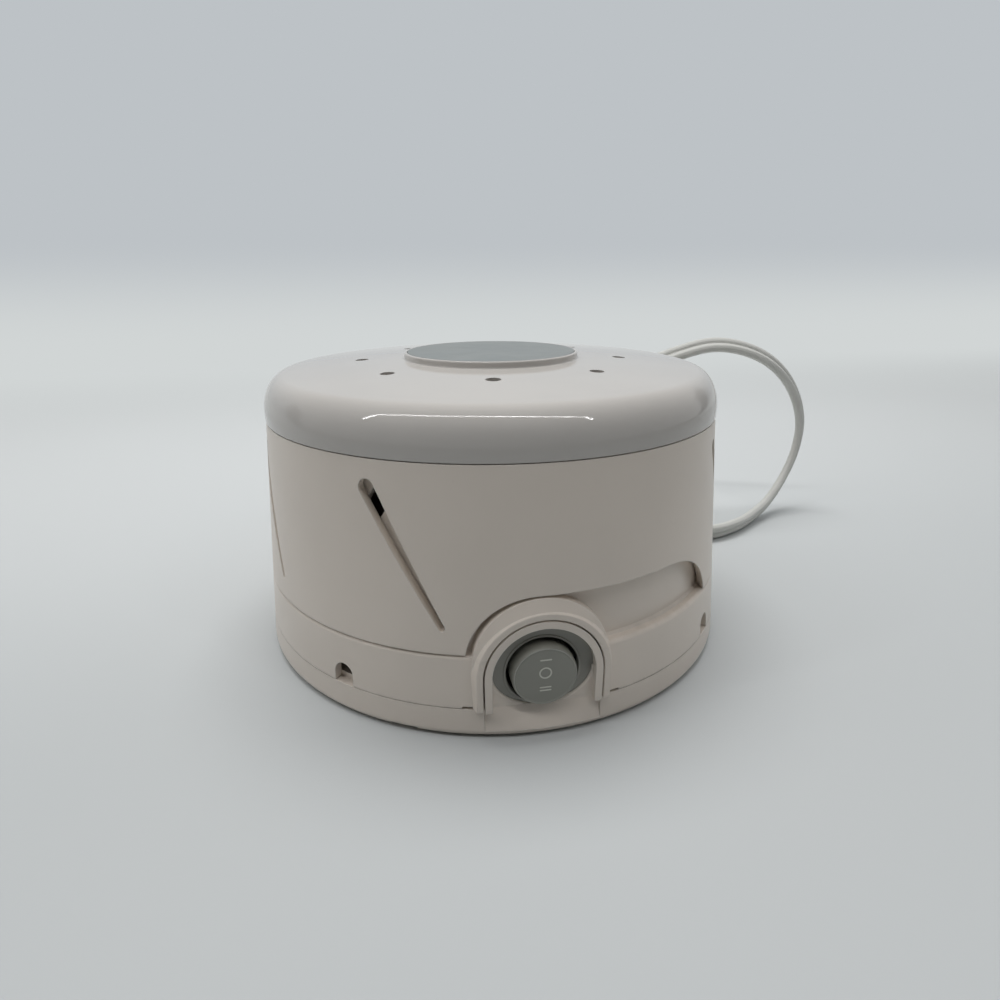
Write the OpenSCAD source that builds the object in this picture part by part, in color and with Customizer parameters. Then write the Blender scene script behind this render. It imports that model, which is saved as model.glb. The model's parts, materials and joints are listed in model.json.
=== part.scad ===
// Fan-driven white noise machine: a tapered round housing with a turning
// slotted collar, a turning perforated cap, a rocker switch and, inside,
// a shaded-pole motor that drives a centrifugal fan.
// Millimetres. Origin at the centre of the base on the table, +Z up, switch at -Y.
// An azimuth is counted from -Y towards +X.

/* [Housing] */
// Radius that the tapered side would have at table level
side_r0 = 73.6; // [72:0.1:76]
// Draft of the side wall, degrees from vertical
side_draft = 6.5; // [5.5:0.25:7]
// Thickness of the moulded walls
shell_wall = 2.2; // [1.8:0.1:2.4]
// Height of the seam between bottom cover and housing
seam_z = 8.4; // [7.6:0.2:9.4]
// Width of the seam line
seam_gap = 0.2; // [0.1:0.05:0.4]
// Height of the ledge that the collar turns on
ledge_z = 22.6; // [21.6:0.2:24]
// Rounding of the ledge's lip
lip_r = 1.2; // [0.6:0.1:1.6]
// Thickness of the domed deck under the cap
deck_t = 2.4; // [2:0.1:3]

/* [Cap] */
// Amount by which the cap stands proud of the tapered side
cap_over = 0.14; // [0.1:0.02:0.5]
// Height of the side of the cap, from lower edge to shoulder
cap_side_h = 11.5; // [11:0.1:12.5]
// Width of the rounded shoulder, measured inwards
cap_corner_w = 6.8; // [6:0.1:7.6]
// Height of the rounded shoulder
cap_corner_h = 10; // [9:0.1:10.6]
// Rise of the dome from the shoulder to the centre
dome_rise = 2.6; // [1.6:0.1:3.4]
// Number of sound holes in the cap and in the deck
cap_hole_count = 8; // [4:1:12]
// Diameter of a sound hole
cap_hole_d = 3.9; // [3:0.1:5]
// Radius of the circle of sound holes
cap_hole_circle_r = 38.5; // [34:0.5:42]
// Azimuth of the first sound hole
cap_hole_az = -8.8; // [-22:0.1:22]
// Radius of the raised centre of the cap
boss_r = 25.7; // [22:0.1:28]
// Height of the raised centre above the dome
boss_h = 1.8; // [1.4:0.1:2.4]
// Radius of the badge disc
badge_r = 24.7; // [20:0.1:25]
// Thickness of the badge disc
badge_t = 1.2; // [0.8:0.1:1.6]
// Turn of the cap from holes open to holes shut, degrees
cap_travel = 22.5; // [15:0.5:22.5]

/* [Collar] */
// Height of the collar
collar_h = 44.8; // [43:0.2:46]
// Thickness of the collar
collar_wall = 2.6; // [2.2:0.1:2.8]
// Space between collar and inner drum
collar_gap = 0.4; // [0.3:0.05:0.6]
// Pitch of the slots, degrees
slot_pitch = 45; // [45:5:60]
// Number of slots that are cut
slot_count = 7; // [1:1:7]
// Azimuth of the middle of the first slot after the window
slot_first_az = 63; // [58:0.5:66]
// Lean of a slot, degrees of azimuth from its foot to its top
slot_lean = 15.1; // [8:0.1:18]
// Height of the slot's foot centre
slot_foot_z = 29.4; // [27:0.2:34]
// Height of the slot's top centre
slot_top_z = 61; // [54:0.2:62]
// Radius of the slot's foot
slot_foot_r = 0.8; // [0.5:0.1:1.2]
// Radius of the slot's top
slot_top_r = 2.1; // [1.5:0.1:2.6]
// Left side of the window in the collar's lower edge
window_x0 = -18.8; // [-19.4:0.1:-18.6]
// Right side of the window
window_x1 = 52.2; // [48:0.1:54]
// Top of the window
window_top_z = 37.3; // [36.5:0.1:40]
// Rounding of the window's two upper corners
window_corner_r = 17.5; // [14:0.5:18]

/* [Drum openings] */
// Width of an opening in the inner drum
drum_slot_w = 5.2; // [4:0.1:6]
// Lean of the opening from vertical, opposite to the collar's slots
drum_slot_lean = 34; // [26:1:36]
// Height of the lower end of the openings
drum_slot_z0 = 40; // [38.5:0.5:44]
// Height of the upper end of the openings
drum_slot_z1 = 61; // [56:0.5:63]
// Azimuth of the first opening at its upper end
drum_slot_az = 58.5; // [56:0.5:62]

/* [Switch panel] */
// Amount by which the switch panel's face stands in front of the tapered side
panel_out = 0.45; // [0.3:0.05:0.8]
// Tilt of the switch panel, degrees from vertical
panel_tilt = 2; // [0:0.5:6.5]
// Height of the switch centre
switch_z = 17.1; // [16.5:0.1:17.6]
// Outer radius of the housing's arch
arch_r = 17.8; // [17.4:0.1:17.9]
// Inner radius of the housing's arch
arch_inner_r = 14.95; // [14.6:0.05:15.2]
// Outer radius of the arch's flat front face
arch_front_r = 16.75; // [16:0.05:17]
// Depth of the slope from the front face to the arch's outer radius
arch_slope = 3.5; // [2:0.1:5]
// Clearance between the arch and the panel inside it
panel_gap = 0.35; // [0.2:0.05:0.5]
// Width of the trim round the switch recess
trim_w = 1.8; // [1.4:0.1:2.2]
// Depth of the switch recess
recess_depth = 2.3; // [1.8:0.1:2.6]
// Distance of the trim's lower ends below the switch centre
trim_drop = 9.1; // [9:0.1:9.6]
// Distance of the opening's lower edge below the switch centre
opening_drop = 9.5; // [9.3:0.1:10.2]

/* [Switch] */
// Radius of the round rocker
rocker_r = 8.1; // [7:0.1:8.2]
// Gap between the rocker and its bezel
rocker_gap = 0.95; // [0.8:0.05:1.2]
// Height of the rocker's face in front of the panel
rocker_proud = 0.5; // [0:0.1:1.5]
// Rounding of the rocker's edge
rocker_round = 0.8; // [0.4:0.1:1.2]
// Tilt of the rocker to each side, degrees
rocker_tilt = 8; // [4:1:9]
// Radius of the rocker's pivot
pivot_r = 1.5; // [1.2:0.1:1.8]
// Depth of the pivot behind the panel's face
pivot_depth = 8; // [7:0.2:9]
// Thickness of the grey bezel plate
bezel_t = 1.6; // [1.2:0.1:2]
// Length of the switch body behind the bezel
switch_body_len = 15.2; // [14:0.1:20]

/* [Bottom cover] */
// Height of the cover's underside above the table
foot_proud = 0.4; // [0.3:0.1:1]
// Thickness of the cover's floor
floor_t = 2.4; // [2:0.1:3]
// Rounding of the cover's lower edge
base_round = 2; // [1.5:0.1:2.6]
// Height of the spigot that centres the housing
spigot_h = 1.5; // [1:0.1:2]
// Radius of a rubber foot
foot_r = 6.5; // [5:0.1:8]
// Distance of a foot's centre from the edge
foot_inset = 21.6; // [20:0.1:26]
// Depth of the recess that a foot sits in
foot_recess = 1; // [0.8:0.1:1.2]
// Distance of a cover screw from the edge
screw_inset = 11.6; // [11:0.1:12.4]
// Shank radius of the cover and mount screws
screw_r = 1.5; // [1.3:0.05:1.6]
// Width of the small sound windows in the housing's lower edge
port_w = 6.2; // [5:0.1:7]
// Height of the small sound windows
port_h = 5.9; // [5:0.1:7]
// Azimuth of the first small window
port_az = 48; // [45:0.5:50]

/* [Motor] */
// Radius of the motor shaft
shaft_r = 2; // [1.6:0.1:2.4]
// Radius of the rotor
rotor_r = 12.8; // [11:0.1:13.5]
// Air gap between rotor and poles
air_gap = 0.4; // [0.35:0.05:0.6]
// Height of the lamination stack
stack_h = 18; // [14:1:20]
// Width of the lamination stack
stack_w = 50; // [48:1:54]
// Thickness of a motor bracket
bracket_t = 2; // [1.6:0.1:2.4]
// Height of a bracket's legs
bracket_leg_h = 11; // [10:0.5:12]
// Height of the posts that carry the motor
post_h = 6; // [5:0.5:8]
// Height of a rubber mount
grommet_h = 6; // [5.5:0.1:7]

/* [Fan] */
// Radius of the fan
fan_r = 46; // [36:1:50]
// Height of the fan blades
blade_h = 8; // [6:0.5:9]
// Number of fan blades
blade_count = 11; // [7:1:15]
// Thickness of a fan blade
blade_t = 1.4; // [1:0.1:1.8]
// Radius of curvature of a blade
blade_curve_r = 34; // [30:1:44]

/* [Cord] */
// Width of the flat twin cord
cord_w = 7; // [6:0.1:7.4]
// Thickness of the flat twin cord
cord_t = 3.6; // [3:0.1:4]
// Length of the strain relief outside the housing
relief_len = 26; // [22:1:26]
// Radius of the coil at the middle of its turns
coil_mid_r = 38; // [36:1:40]
// Width of the wound coil, across its turns
coil_band = 15.8; // [12:0.2:18]

/* [Hidden] */
$fn = 96;

eps = 0.01;
seat = 0.05;           // space between faces that touch
turn_gap = 0.25;       // space above and below a turning ring
fit = 0.05;            // radial clearance of a shaft, pivot or screw
ledge_t = shell_wall;

function side_r(z) = side_r0 - z * tan(side_draft);
function drum_r(z) = side_r(z) - collar_wall - collar_gap;
function arc(cx, cy, r, a0, a1, n = 8) =
    [for (i = [0:n]) let (a = a0 + (a1 - a0) * i / n) [cx + r * cos(a), cy + r * sin(a)]];
function ell(cx, cy, rx, ry, a0, a1, n = 10) =
    [for (i = [0:n]) let (a = a0 + (a1 - a0) * i / n) [cx + rx * cos(a), cy + ry * sin(a)]];

panel_y = side_r(switch_z) + panel_out;
foot_circle_r = side_r0 - foot_inset;
screw_circle_r = side_r0 - screw_inset;
cut_r = side_r(slot_top_z) - 12;    // where the cuts through the drum and the collar start
cut_len = 24;

// Heights that follow from the stack of parts
collar_z0 = ledge_z + turn_gap;
collar_z1 = collar_z0 + collar_h;
cap_z0 = collar_z1 + turn_gap;
cap_r = side_r(cap_z0) + cap_over;
shoulder_z = cap_z0 + cap_side_h;
shoulder_r = cap_r - cap_corner_w;
dome_R = (shoulder_r * shoulder_r + dome_rise * dome_rise) / (2 * dome_rise);
deck_gap = 0.5;
deck_corner_r = 3;
function dome_z(r) = shoulder_z + dome_rise - r * r / (2 * dome_R);
function deck_top_z(r) = dome_z(r) - shell_wall - deck_gap;
// Points of the dome, drop below its outer face, from radius r0 to r1
function dome_arc(r0, r1, drop, n = 6) =
    [for (i = [0:n]) let (r = r0 + (r1 - r0) * i / n) [r, dome_z(r) - drop]];
cap_top_z = dome_z(boss_r) + boss_h;
floor_z = foot_proud + floor_t;

module at_az(az, r = 0) { rotate([0, 0, az]) translate([0, -r, 0]) children(); }

// Frame of the switch panel: x to the right, y up the panel, z out of its face
module panel_frame() {
    translate([0, -panel_y, switch_z]) rotate([90 - panel_tilt, 0, 0]) children();
}
function panel_point(x, y, z) =
    [x, y * sin(panel_tilt) - z * cos(panel_tilt) - panel_y,
     y * cos(panel_tilt) + z * sin(panel_tilt) + switch_z];

// ---------------------------------------------------------------- bottom cover
cover_screw_az = [-62, 62, 152, -152];
cover_screw_len = 14;
notch_az = -28;
notch_w = 7.5;
notch_h = 1.3;
cover_boss_r = 5;
cover_boss_z1 = floor_z + 1.6;
housing_boss_r = 4.2;
screw_head_r = 3;
screw_head_h = 1.8;
head_recess = screw_head_h + 0.3;
mount_x = 31;
mount_y = 12;
mount_xy = [for (x = [-mount_x, mount_x], y = [-mount_y, mount_y]) [x, y]];
post_r = 4;
post_z1 = floor_z + post_h;
panel_r = arch_inner_r - panel_gap;
recess_r = panel_r - trim_w;
panel_rear = 7;        // depth of the panel's rim behind its face
gland_z = 13.2;        // height of the cord's exit
gland_hole_r = 5.2;
gland_flange_r = gland_hole_r + 1.4;
gland_flange_y = side_r(gland_z + gland_flange_r) - shell_wall - 0.45;
gland_flange_t = 5.4;

module cover_profile() {
    r1 = side_r(foot_proud + base_round);
    spigot_in = shell_wall + 2 * fit;
    spigot_z1 = seam_z + spigot_h;
    inner_r = side_r(seam_z) - 2 * shell_wall;
    polygon(concat(
        [[0, foot_proud]],
        arc(r1 - base_round, foot_proud + base_round, base_round, -90, 0),
        [[side_r(seam_z), seam_z], [side_r(seam_z) - spigot_in, seam_z],
         [side_r(spigot_z1) - spigot_in, spigot_z1], [inner_r, spigot_z1],
         [inner_r, floor_z + 1], [inner_r - 1, floor_z], [0, floor_z]]));
}

// Upright outline with a round top, flat at drop below the switch centre
module panel_outline(r, drop = switch_z + 2) {
    intersection() {
        circle(r);
        translate([-r, -eps]) square([2 * r, r + 1]);
    }
    translate([-r, -drop]) square([2 * r, drop]);
}

lip_t = 0.45;          // thickness of the recess floor in front of the bezel
plate_back = recess_depth + lip_t;
rim_drop = trim_drop + 1.2;
bezel_drop = 12;

// Trim round the switch, the recess floor inside it and the rim behind them
module switch_panel() {
    panel_frame() difference() {
        union() {
            translate([0, 0, -recess_depth - eps]) linear_extrude(recess_depth + eps) difference() {
                panel_outline(panel_r, trim_drop);
                panel_outline(recess_r, trim_drop + 1);
            }
            translate([0, 0, -plate_back]) linear_extrude(lip_t) panel_outline(panel_r, rim_drop);
            translate([0, 0, -panel_rear]) linear_extrude(panel_rear - plate_back + eps) difference() {
                panel_outline(panel_r, rim_drop);
                panel_outline(recess_r + 0.6, rim_drop + 1);
            }
        }
        // opening for the bezel: round above, flatter and bevelled below
        translate([0, 0, -plate_back - eps]) {
            linear_extrude(lip_t + 1) intersection() {
                circle(recess_r);
                translate([-recess_r, 0]) square(2 * recess_r);
            }
            scale([1, opening_drop / recess_r, 1])
                cylinder(r1 = recess_r - 0.4, r2 = recess_r + 0.4, h = lip_t + 2 * eps);
        }
    }
}

// Space in front of the panel's lower part: flat at the trim's foot, round at the lower edge
module panel_cut() {
    z0 = foot_proud + base_round;
    z1 = panel_point(0, -trim_drop, -recess_depth)[2];
    y1 = panel_point(0, -trim_drop, -recess_depth)[1];
    rear = side_r0 - 8;
    half_w = panel_r + 0.1;
    half = asin(half_w / (side_r(z0) - 0.1));
    difference() {
        translate([-half_w, -side_r0 - 5, z0]) cube([2 * half_w, side_r0 + 5 - rear, 20]);
        hull() {
            translate([0, 0, z0 - eps]) linear_extrude(2 * eps) polygon(concat(
                [[half_w + eps, 1 - rear], [-half_w - eps, 1 - rear]],
                arc(0, 0, side_r(z0) - 0.1, -90 - half, half - 90, 10)));
            translate([-half_w - eps, y1, z1 - eps]) cube([2 * (half_w + eps), 1 - rear - y1, eps]);
        }
    }
}

module bottom_cover() {
    color("whitesmoke") difference() {
        union() {
            difference() {
                rotate_extrude() cover_profile();
                panel_cut();
                // space for the legs of the housing's arch
                translate([-arch_r - panel_gap, -side_r0, seam_z])
                    cube([2 * (arch_r + panel_gap), 20, spigot_h + 1]);
            }
            switch_panel();
            for (a = cover_screw_az) at_az(a, screw_circle_r)
                translate([0, 0, foot_proud]) cylinder(r = cover_boss_r, h = cover_boss_z1 - foot_proud);
            for (p = mount_xy)
                translate([p[0], p[1], foot_proud]) cylinder(r = post_r, h = post_z1 - foot_proud);
            for (k = [0:3]) at_az(45 + 90 * k, foot_circle_r)
                translate([0, 0, foot_proud]) cylinder(r = foot_r + 1.6, h = floor_t + foot_recess);
            rotate_extrude() translate([40, floor_z - eps]) square([1.4, 1.6]);
            // cradle under the cord's strain relief
            translate([-6, gland_flange_y - gland_flange_t, foot_proud])
                cube([12, gland_flange_t, gland_z - foot_proud - gland_flange_r / 2]);
        }
        // room behind the panel for the switch
        intersection() {
            rotate_extrude() translate([side_r(seam_z) - 12, floor_z + 1]) square([14, 20]);
            panel_frame() translate([-recess_r - 0.6, -bezel_drop - 0.3, -20])
                cube([2 * recess_r + 1.2, 30, 20 - plate_back]);
        }
        for (a = cover_screw_az) at_az(a, screw_circle_r) {
            translate([0, 0, foot_proud - eps]) cylinder(r = screw_head_r + 0.3, h = head_recess + eps);
            cylinder(r = screw_r + 0.3, h = 12);
        }
        for (p = mount_xy)
            translate([p[0], p[1], foot_proud + 2]) cylinder(r = screw_r + fit, h = post_h + 5);
        for (k = [0:3]) at_az(45 + 90 * k, foot_circle_r)
            translate([0, 0, foot_proud - 1]) cylinder(r = foot_r + 0.15, h = 1 + foot_recess);
        // gland seat
        translate([0, gland_flange_y + 0.1, gland_z]) rotate([90, 0, 0])
            cylinder(r = gland_flange_r + seat, h = gland_flange_t + 1);
        translate([0, side_r(seam_z) + 4, gland_z]) rotate([90, 0, 0])
            cylinder(r = gland_hole_r + fit, h = 20);
        // notch in the lower edge for prying the cover off
        at_az(notch_az, side_r0) translate([-notch_w / 2, -1, foot_proud - 1])
            cube([notch_w, 3, 1 + notch_h]);
    }
}

// ---------------------------------------------------------------- housing
arch_depth = 9;
stem_r = 6;
stop_r = 20;
stop_pin_r = 1.8;
stop_gap = 0.35;
slit_az = 14.9;        // prying slits in the seam beside the arch
slit_w = 2.6;
slit_depth = 1;
// The slope of the arch widens towards its upper left: centre and radius of its rear edge
brow_at = [-0.4, 3];
brow_r = 16.8;
brow_depth = 2;

module housing_profile() {
    deck_drop = shell_wall + deck_gap;
    zc = deck_top_z(shoulder_r) - deck_corner_r;
    rc = drum_r(zc) - deck_corner_r;
    z0 = seam_z + seam_gap;
    zl = ledge_z - lip_r;
    polygon(concat(
        [[side_r(z0), z0]],
        arc(side_r(zl) - lip_r, zl, lip_r, 0, 90, 6),
        [[drum_r(ledge_z) + 0.6, ledge_z], [drum_r(ledge_z + 0.6), ledge_z + 0.6]],
        arc(rc, zc, deck_corner_r, 0, 90, 6),
        dome_arc(rc - 0.5, stem_r + fit, deck_drop),
        dome_arc(stem_r + fit, rc - 2, deck_drop + deck_t),
        [[drum_r(zc) - shell_wall, zc - 1],
         [drum_r(ledge_z) - shell_wall, ledge_z - ledge_t],
         [side_r(ledge_z - ledge_t) - shell_wall, ledge_z - ledge_t],
         [side_r(z0) - shell_wall, z0]]));
}

// Section of the arch: flat front face and a slope that widens towards the rear
module arch_section() {
    edge = 0.4;
    polygon(concat([[arch_inner_r, -arch_depth], [arch_r, -arch_depth], [arch_r, -arch_slope]],
        arc(arch_front_r - edge, -edge, edge, 15, 90, 5),
        arc(arch_inner_r + edge, -edge, edge, 90, 180, 3)));
}

// Wider part of the slope, from just inside the front edge to the rear edge
module arch_brow() {
    front_r = arch_front_r - norm(brow_at) - 0.1;
    translate([brow_at[0], brow_at[1], 0]) rotate_extrude() polygon([
        [front_r - 1, -0.4], [front_r, -0.4], [brow_r, -brow_depth],
        [brow_r, -arch_depth], [front_r - 1, -arch_depth]]);
}

module arch_ring() {
    rotate_extrude(angle = 180) arch_section();
    intersection() {
        arch_brow();
        translate([-arch_r - 5, 0, -arch_depth - 1]) cube([2 * arch_r + 10, arch_r + 10, arch_depth + 2]);
    }
    for (s = [0, 1]) mirror([s, 0, 0]) rotate([90, 0, 0]) linear_extrude(switch_z) arch_section();
}

module housing() {
    color("whitesmoke") difference() {
        union() {
            rotate_extrude() housing_profile();
            intersection() {
                panel_frame() arch_ring();
                translate([-40, -panel_y - 10, seam_z + seam_gap]) cube([80, 40, 60]);
            }
            for (a = cover_screw_az) at_az(a, screw_circle_r)
                translate([0, 0, cover_boss_z1 + seat]) cylinder(r = housing_boss_r, h = 24);
        }
        // tunnel for the switch panel
        panel_frame() translate([0, 0, -16]) linear_extrude(20) panel_outline(arch_inner_r);
        for (a = cover_screw_az) at_az(a, screw_circle_r)
            cylinder(r = screw_r + fit, h = 22);
        // small arched windows in the lower edge
        for (k = [0:3]) at_az(port_az + 90 * k, 0)
            translate([0, -side_r(seam_z) + 12, seam_z]) rotate([90, 0, 0]) linear_extrude(20) {
                translate([0, port_h - port_w / 2]) circle(port_w / 2);
                translate([-port_w / 2, -1]) square([port_w, port_h - port_w / 2 + 1]);
            }
        // prying notches beside the arch
        for (s = [-1, 1]) at_az(s * slit_az, side_r(seam_z) - slit_depth)
            translate([-slit_w / 2, -5, seam_z]) cube([slit_w, 5 + slit_depth, seam_gap + 0.5]);
        drum_openings();
        // sound holes in the deck
        for (k = [0:cap_hole_count - 1]) at_az(cap_hole_az + k * 360 / cap_hole_count, cap_hole_circle_r)
            translate([0, 0, shoulder_z - 10]) cylinder(d = cap_hole_d, h = 20);
        stop_slot();
        // cord exit
        translate([0, side_r(seam_z) + 6, gland_z]) rotate([90, 0, 0])
            cylinder(r = gland_hole_r + fit, h = 16);
        translate([-gland_hole_r - fit, side_r(seam_z) - 10, seam_z - 1])
            cube([2 * (gland_hole_r + fit), 16, gland_z - seam_z + 1]);
    }
}

// Openings of the inner drum: leaning parallelograms with round ends
module drum_openings() {
    dz = drum_slot_z1 - drum_slot_z0;
    for (k = [0:slot_count - 1]) at_az(drum_slot_az + k * slot_pitch, cut_r)
        rotate([90, 0, 0]) linear_extrude(cut_len) translate([0, drum_slot_z1]) rotate(-drum_slot_lean) {
            len = dz / cos(drum_slot_lean);
            circle(drum_slot_w / 2);
            translate([0, -len]) circle(drum_slot_w / 2);
            translate([-drum_slot_w / 2, -len]) square([drum_slot_w, len]);
        }
}

// Arc in the deck that the cap's stop pin runs in, with slightly wider round ends
module stop_slot() {
    half = stop_pin_r + stop_gap - 0.1;
    translate([0, 0, shoulder_z - 10]) {
        rotate([0, 0, 90]) rotate_extrude(angle = cap_travel)
            translate([stop_r - half, 0]) square([2 * half, 20]);
        for (a = [0, cap_travel]) rotate([0, 0, 90 + a]) translate([stop_r, 0, 0])
            cylinder(r = stop_pin_r + stop_gap, h = 20);
    }
}

// ---------------------------------------------------------------- collar
module slot_cut() {
    slot_len = slot_top_z - slot_foot_z;
    half = side_r((slot_top_z + slot_foot_z) / 2) * sin(slot_lean / 2);
    lean = atan(2 * half / slot_len);
    len = slot_len / cos(lean);
    k = (slot_top_r - slot_foot_r) / len;
    c = sqrt(1 - k * k);
    translate([half, slot_foot_z]) rotate(lean) {
        circle(slot_foot_r);
        translate([0, len]) circle(slot_top_r);
        polygon([[slot_foot_r * c, -slot_foot_r * k], [slot_top_r * c, len - slot_top_r * k],
                 [-slot_top_r * c, len - slot_top_r * k], [-slot_foot_r * c, -slot_foot_r * k]]);
    }
}

module collar() {
    color("whitesmoke") difference() {
        rotate_extrude() polygon([
            [side_r(collar_z0), collar_z0], [side_r(collar_z1), collar_z1],
            [side_r(collar_z1) - collar_wall, collar_z1], [side_r(collar_z0) - collar_wall, collar_z0]]);
        for (k = [0:slot_count - 1]) at_az(slot_first_az + k * slot_pitch, cut_r)
            rotate([90, 0, 0]) linear_extrude(cut_len) slot_cut();
        // window round the switch arch, cut straight towards the front
        rotate([90, 0, 0]) linear_extrude(side_r0 + 10) {
            for (x = [window_x0 + window_corner_r, window_x1 - window_corner_r])
                translate([x, window_top_z - window_corner_r]) circle(window_corner_r);
            translate([window_x0, 0]) square([window_x1 - window_x0, window_top_z - window_corner_r]);
            translate([window_x0 + window_corner_r, 0])
                square([window_x1 - window_x0 - 2 * window_corner_r, window_top_z]);
        }
    }
}

// ---------------------------------------------------------------- cap
washer_t = 0.8;
washer_r = 10;
cap_stem_z0 = deck_top_z(washer_r) - deck_t - turn_gap;
cap_screw_len = 4.4;

module cap_profile() {
    zc = shoulder_z - cap_corner_h;
    polygon(concat(
        [[cap_r, cap_z0]],
        ell(shoulder_r, zc, cap_corner_w, cap_corner_h, 0, 90),
        dome_arc(shoulder_r - 4, boss_r + 0.6, 0),
        [[boss_r, dome_z(boss_r) + 0.4]],
        arc(boss_r - 0.6, cap_top_z - 0.6, 0.6, 0, 90, 4),
        [[badge_r + 0.1, cap_top_z], [badge_r + 0.1, cap_top_z - badge_t - seat],
         [0, cap_top_z - badge_t - seat], [0, dome_z(0) - shell_wall]],
        dome_arc(4, shoulder_r - 2, shell_wall),
        ell(shoulder_r, zc, cap_corner_w - shell_wall, cap_corner_h - shell_wall, 80, 0),
        [[cap_r - shell_wall, cap_z0]]));
}

module cap() {
    color("whitesmoke") difference() {
        union() {
            rotate_extrude() cap_profile();
            translate([0, 0, cap_stem_z0]) cylinder(r = stem_r, h = dome_z(0) - cap_stem_z0);
            // stop pin
            at_az(180, stop_r) translate([0, 0, deck_top_z(0) - deck_t])
                cylinder(r = stop_pin_r, h = deck_t + 2);
        }
        for (k = [0:cap_hole_count - 1]) at_az(cap_hole_az + k * 360 / cap_hole_count, cap_hole_circle_r)
            translate([0, 0, shoulder_z - 6]) cylinder(d = cap_hole_d, h = 20);
        translate([0, 0, cap_stem_z0 - 1]) cylinder(r = screw_r + fit, h = cap_screw_len + 0.6);
    }
}

module badge_disc() {
    color("slategray") translate([0, 0, cap_top_z - badge_t]) cylinder(r = badge_r, h = badge_t);
}

module cap_washer() {
    color("silver") translate([0, 0, cap_stem_z0 - seat - washer_t]) difference() {
        cylinder(r = washer_r, h = washer_t);
        translate([0, 0, -1]) cylinder(r = screw_r + 0.2, h = 4);
    }
}

// Pan-head screw with its head's seat at z = 0 and its shank upwards
module pan_screw(shank) {
    cylinder(r = screw_r, h = shank);
    rotate_extrude() difference() {
        polygon(concat([[0, -screw_head_h]], arc(screw_head_r - 0.8, -screw_head_h + 0.8, 0.8, -90, 0, 4),
            [[screw_head_r, 0], [0, 0]]));
        // socket of the drive
        translate([-1, -screw_head_h - 1]) square([1 + 0.6, 1.7]);
    }
}

module cap_screw() {
    color("silver") translate([0, 0, cap_stem_z0 - 2 * seat - washer_t]) pan_screw(cap_screw_len);
}

// ---------------------------------------------------------------- switch
bezel_top = 13.6;
bezel_half = recess_r + 0.4;
bezel_hole_r = rocker_r + rocker_gap;
bezel_front = plate_back + seat;
body_half = 11;
body_front = bezel_front + bezel_t + seat;
tab_len = 8;
tab_pitch = 6;
tab_end = body_front + switch_body_len + tab_len;

module switch_bezel() {
    color("dimgray") panel_frame() translate([0, 0, -bezel_front - bezel_t]) linear_extrude(bezel_t)
    difference() {
        intersection() {
            union() {
                circle(bezel_half);
                translate([-bezel_half, -bezel_drop]) square([2 * bezel_half, bezel_drop]);
            }
            translate([-20, -bezel_drop]) square([40, bezel_drop + bezel_top]);
        }
        circle(bezel_hole_r);
    }
}

module switch_body() {
    color("#222222") panel_frame() difference() {
        translate([0, 0, -body_front - switch_body_len]) linear_extrude(switch_body_len) circle(body_half);
        // well that the rocker tilts in
        translate([0, 0, -pivot_depth - 4]) cylinder(r = bezel_hole_r, h = 20);
        translate([-body_half - 1, 0, -pivot_depth]) rotate([0, 90, 0])
            cylinder(r = pivot_r + fit, h = 2 * body_half + 2);
    }
}

module rocker() {
    top = rocker_proud;
    color("gray") panel_frame() difference() {
        union() {
            rotate_extrude() polygon(concat(
                [[0, -pivot_depth - 1], [rocker_r - 2, -pivot_depth - 1], [rocker_r, -pivot_depth + 2]],
                arc(rocker_r - rocker_round, top - rocker_round, rocker_round, 0, 90, 5), [[0, top]]));
            translate([-body_half + 0.6, 0, -pivot_depth]) rotate([0, 90, 0])
                cylinder(r = pivot_r, h = 2 * body_half - 1.2);
        }
        translate([0, 0, -pivot_depth - 2]) cylinder(r = rocker_r - 3.4, h = 5.5);
    }
}

module switch_terminals() {
    color("goldenrod") panel_frame() for (y = [-tab_pitch, 0, tab_pitch])
        translate([-2.4, y - 0.4, -tab_end]) difference() {
            cube([4.8, 0.8, tab_len - seat]);
            translate([2.4, -1, 2.4]) rotate([-90, 0, 0]) cylinder(r = 0.8, h = 3);
        }
}

// ---------------------------------------------------------------- feet and cover screws
module rubber_feet() {
    color("#333333") for (k = [0:3]) at_az(45 + 90 * k, foot_circle_r)
        rotate_extrude() polygon(concat([[0, 0]], arc(foot_r - 0.6, 0.6, 0.6, -90, 0, 4),
            [[foot_r, foot_proud + foot_recess - seat], [0, foot_proud + foot_recess - seat]]));
}

module cover_screws() {
    color("silver") for (a = cover_screw_az) at_az(a, screw_circle_r)
        translate([0, 0, foot_proud + head_recess - seat]) pan_screw(cover_screw_len);
}

// ---------------------------------------------------------------- motor
plate_t = 1.2;
grommet_z0 = post_z1 + seat;
plate_z0 = grommet_z0 + (grommet_h - plate_t) / 2;
plate_z1 = plate_z0 + plate_t;
lower_z0 = plate_z1 + seat;
stack_z0 = lower_z0 + bracket_t + bracket_leg_h + seat;
stack_z1 = stack_z0 + stack_h;
upper_z1 = stack_z1 + seat + bracket_leg_h + bracket_t;
motor_screw_x = 19.2;
motor_screw_r = 1.6;
bracket_w = 14;
leg_r = 4.5;
bearing_r = 5;
bearing_h = 7;
cup_r = 7;
grommet_r = 5.2;
groove_r = 3.4;
grommet_bore = 2.4;
core_y0 = 30;
core_y1 = 40;

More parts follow.
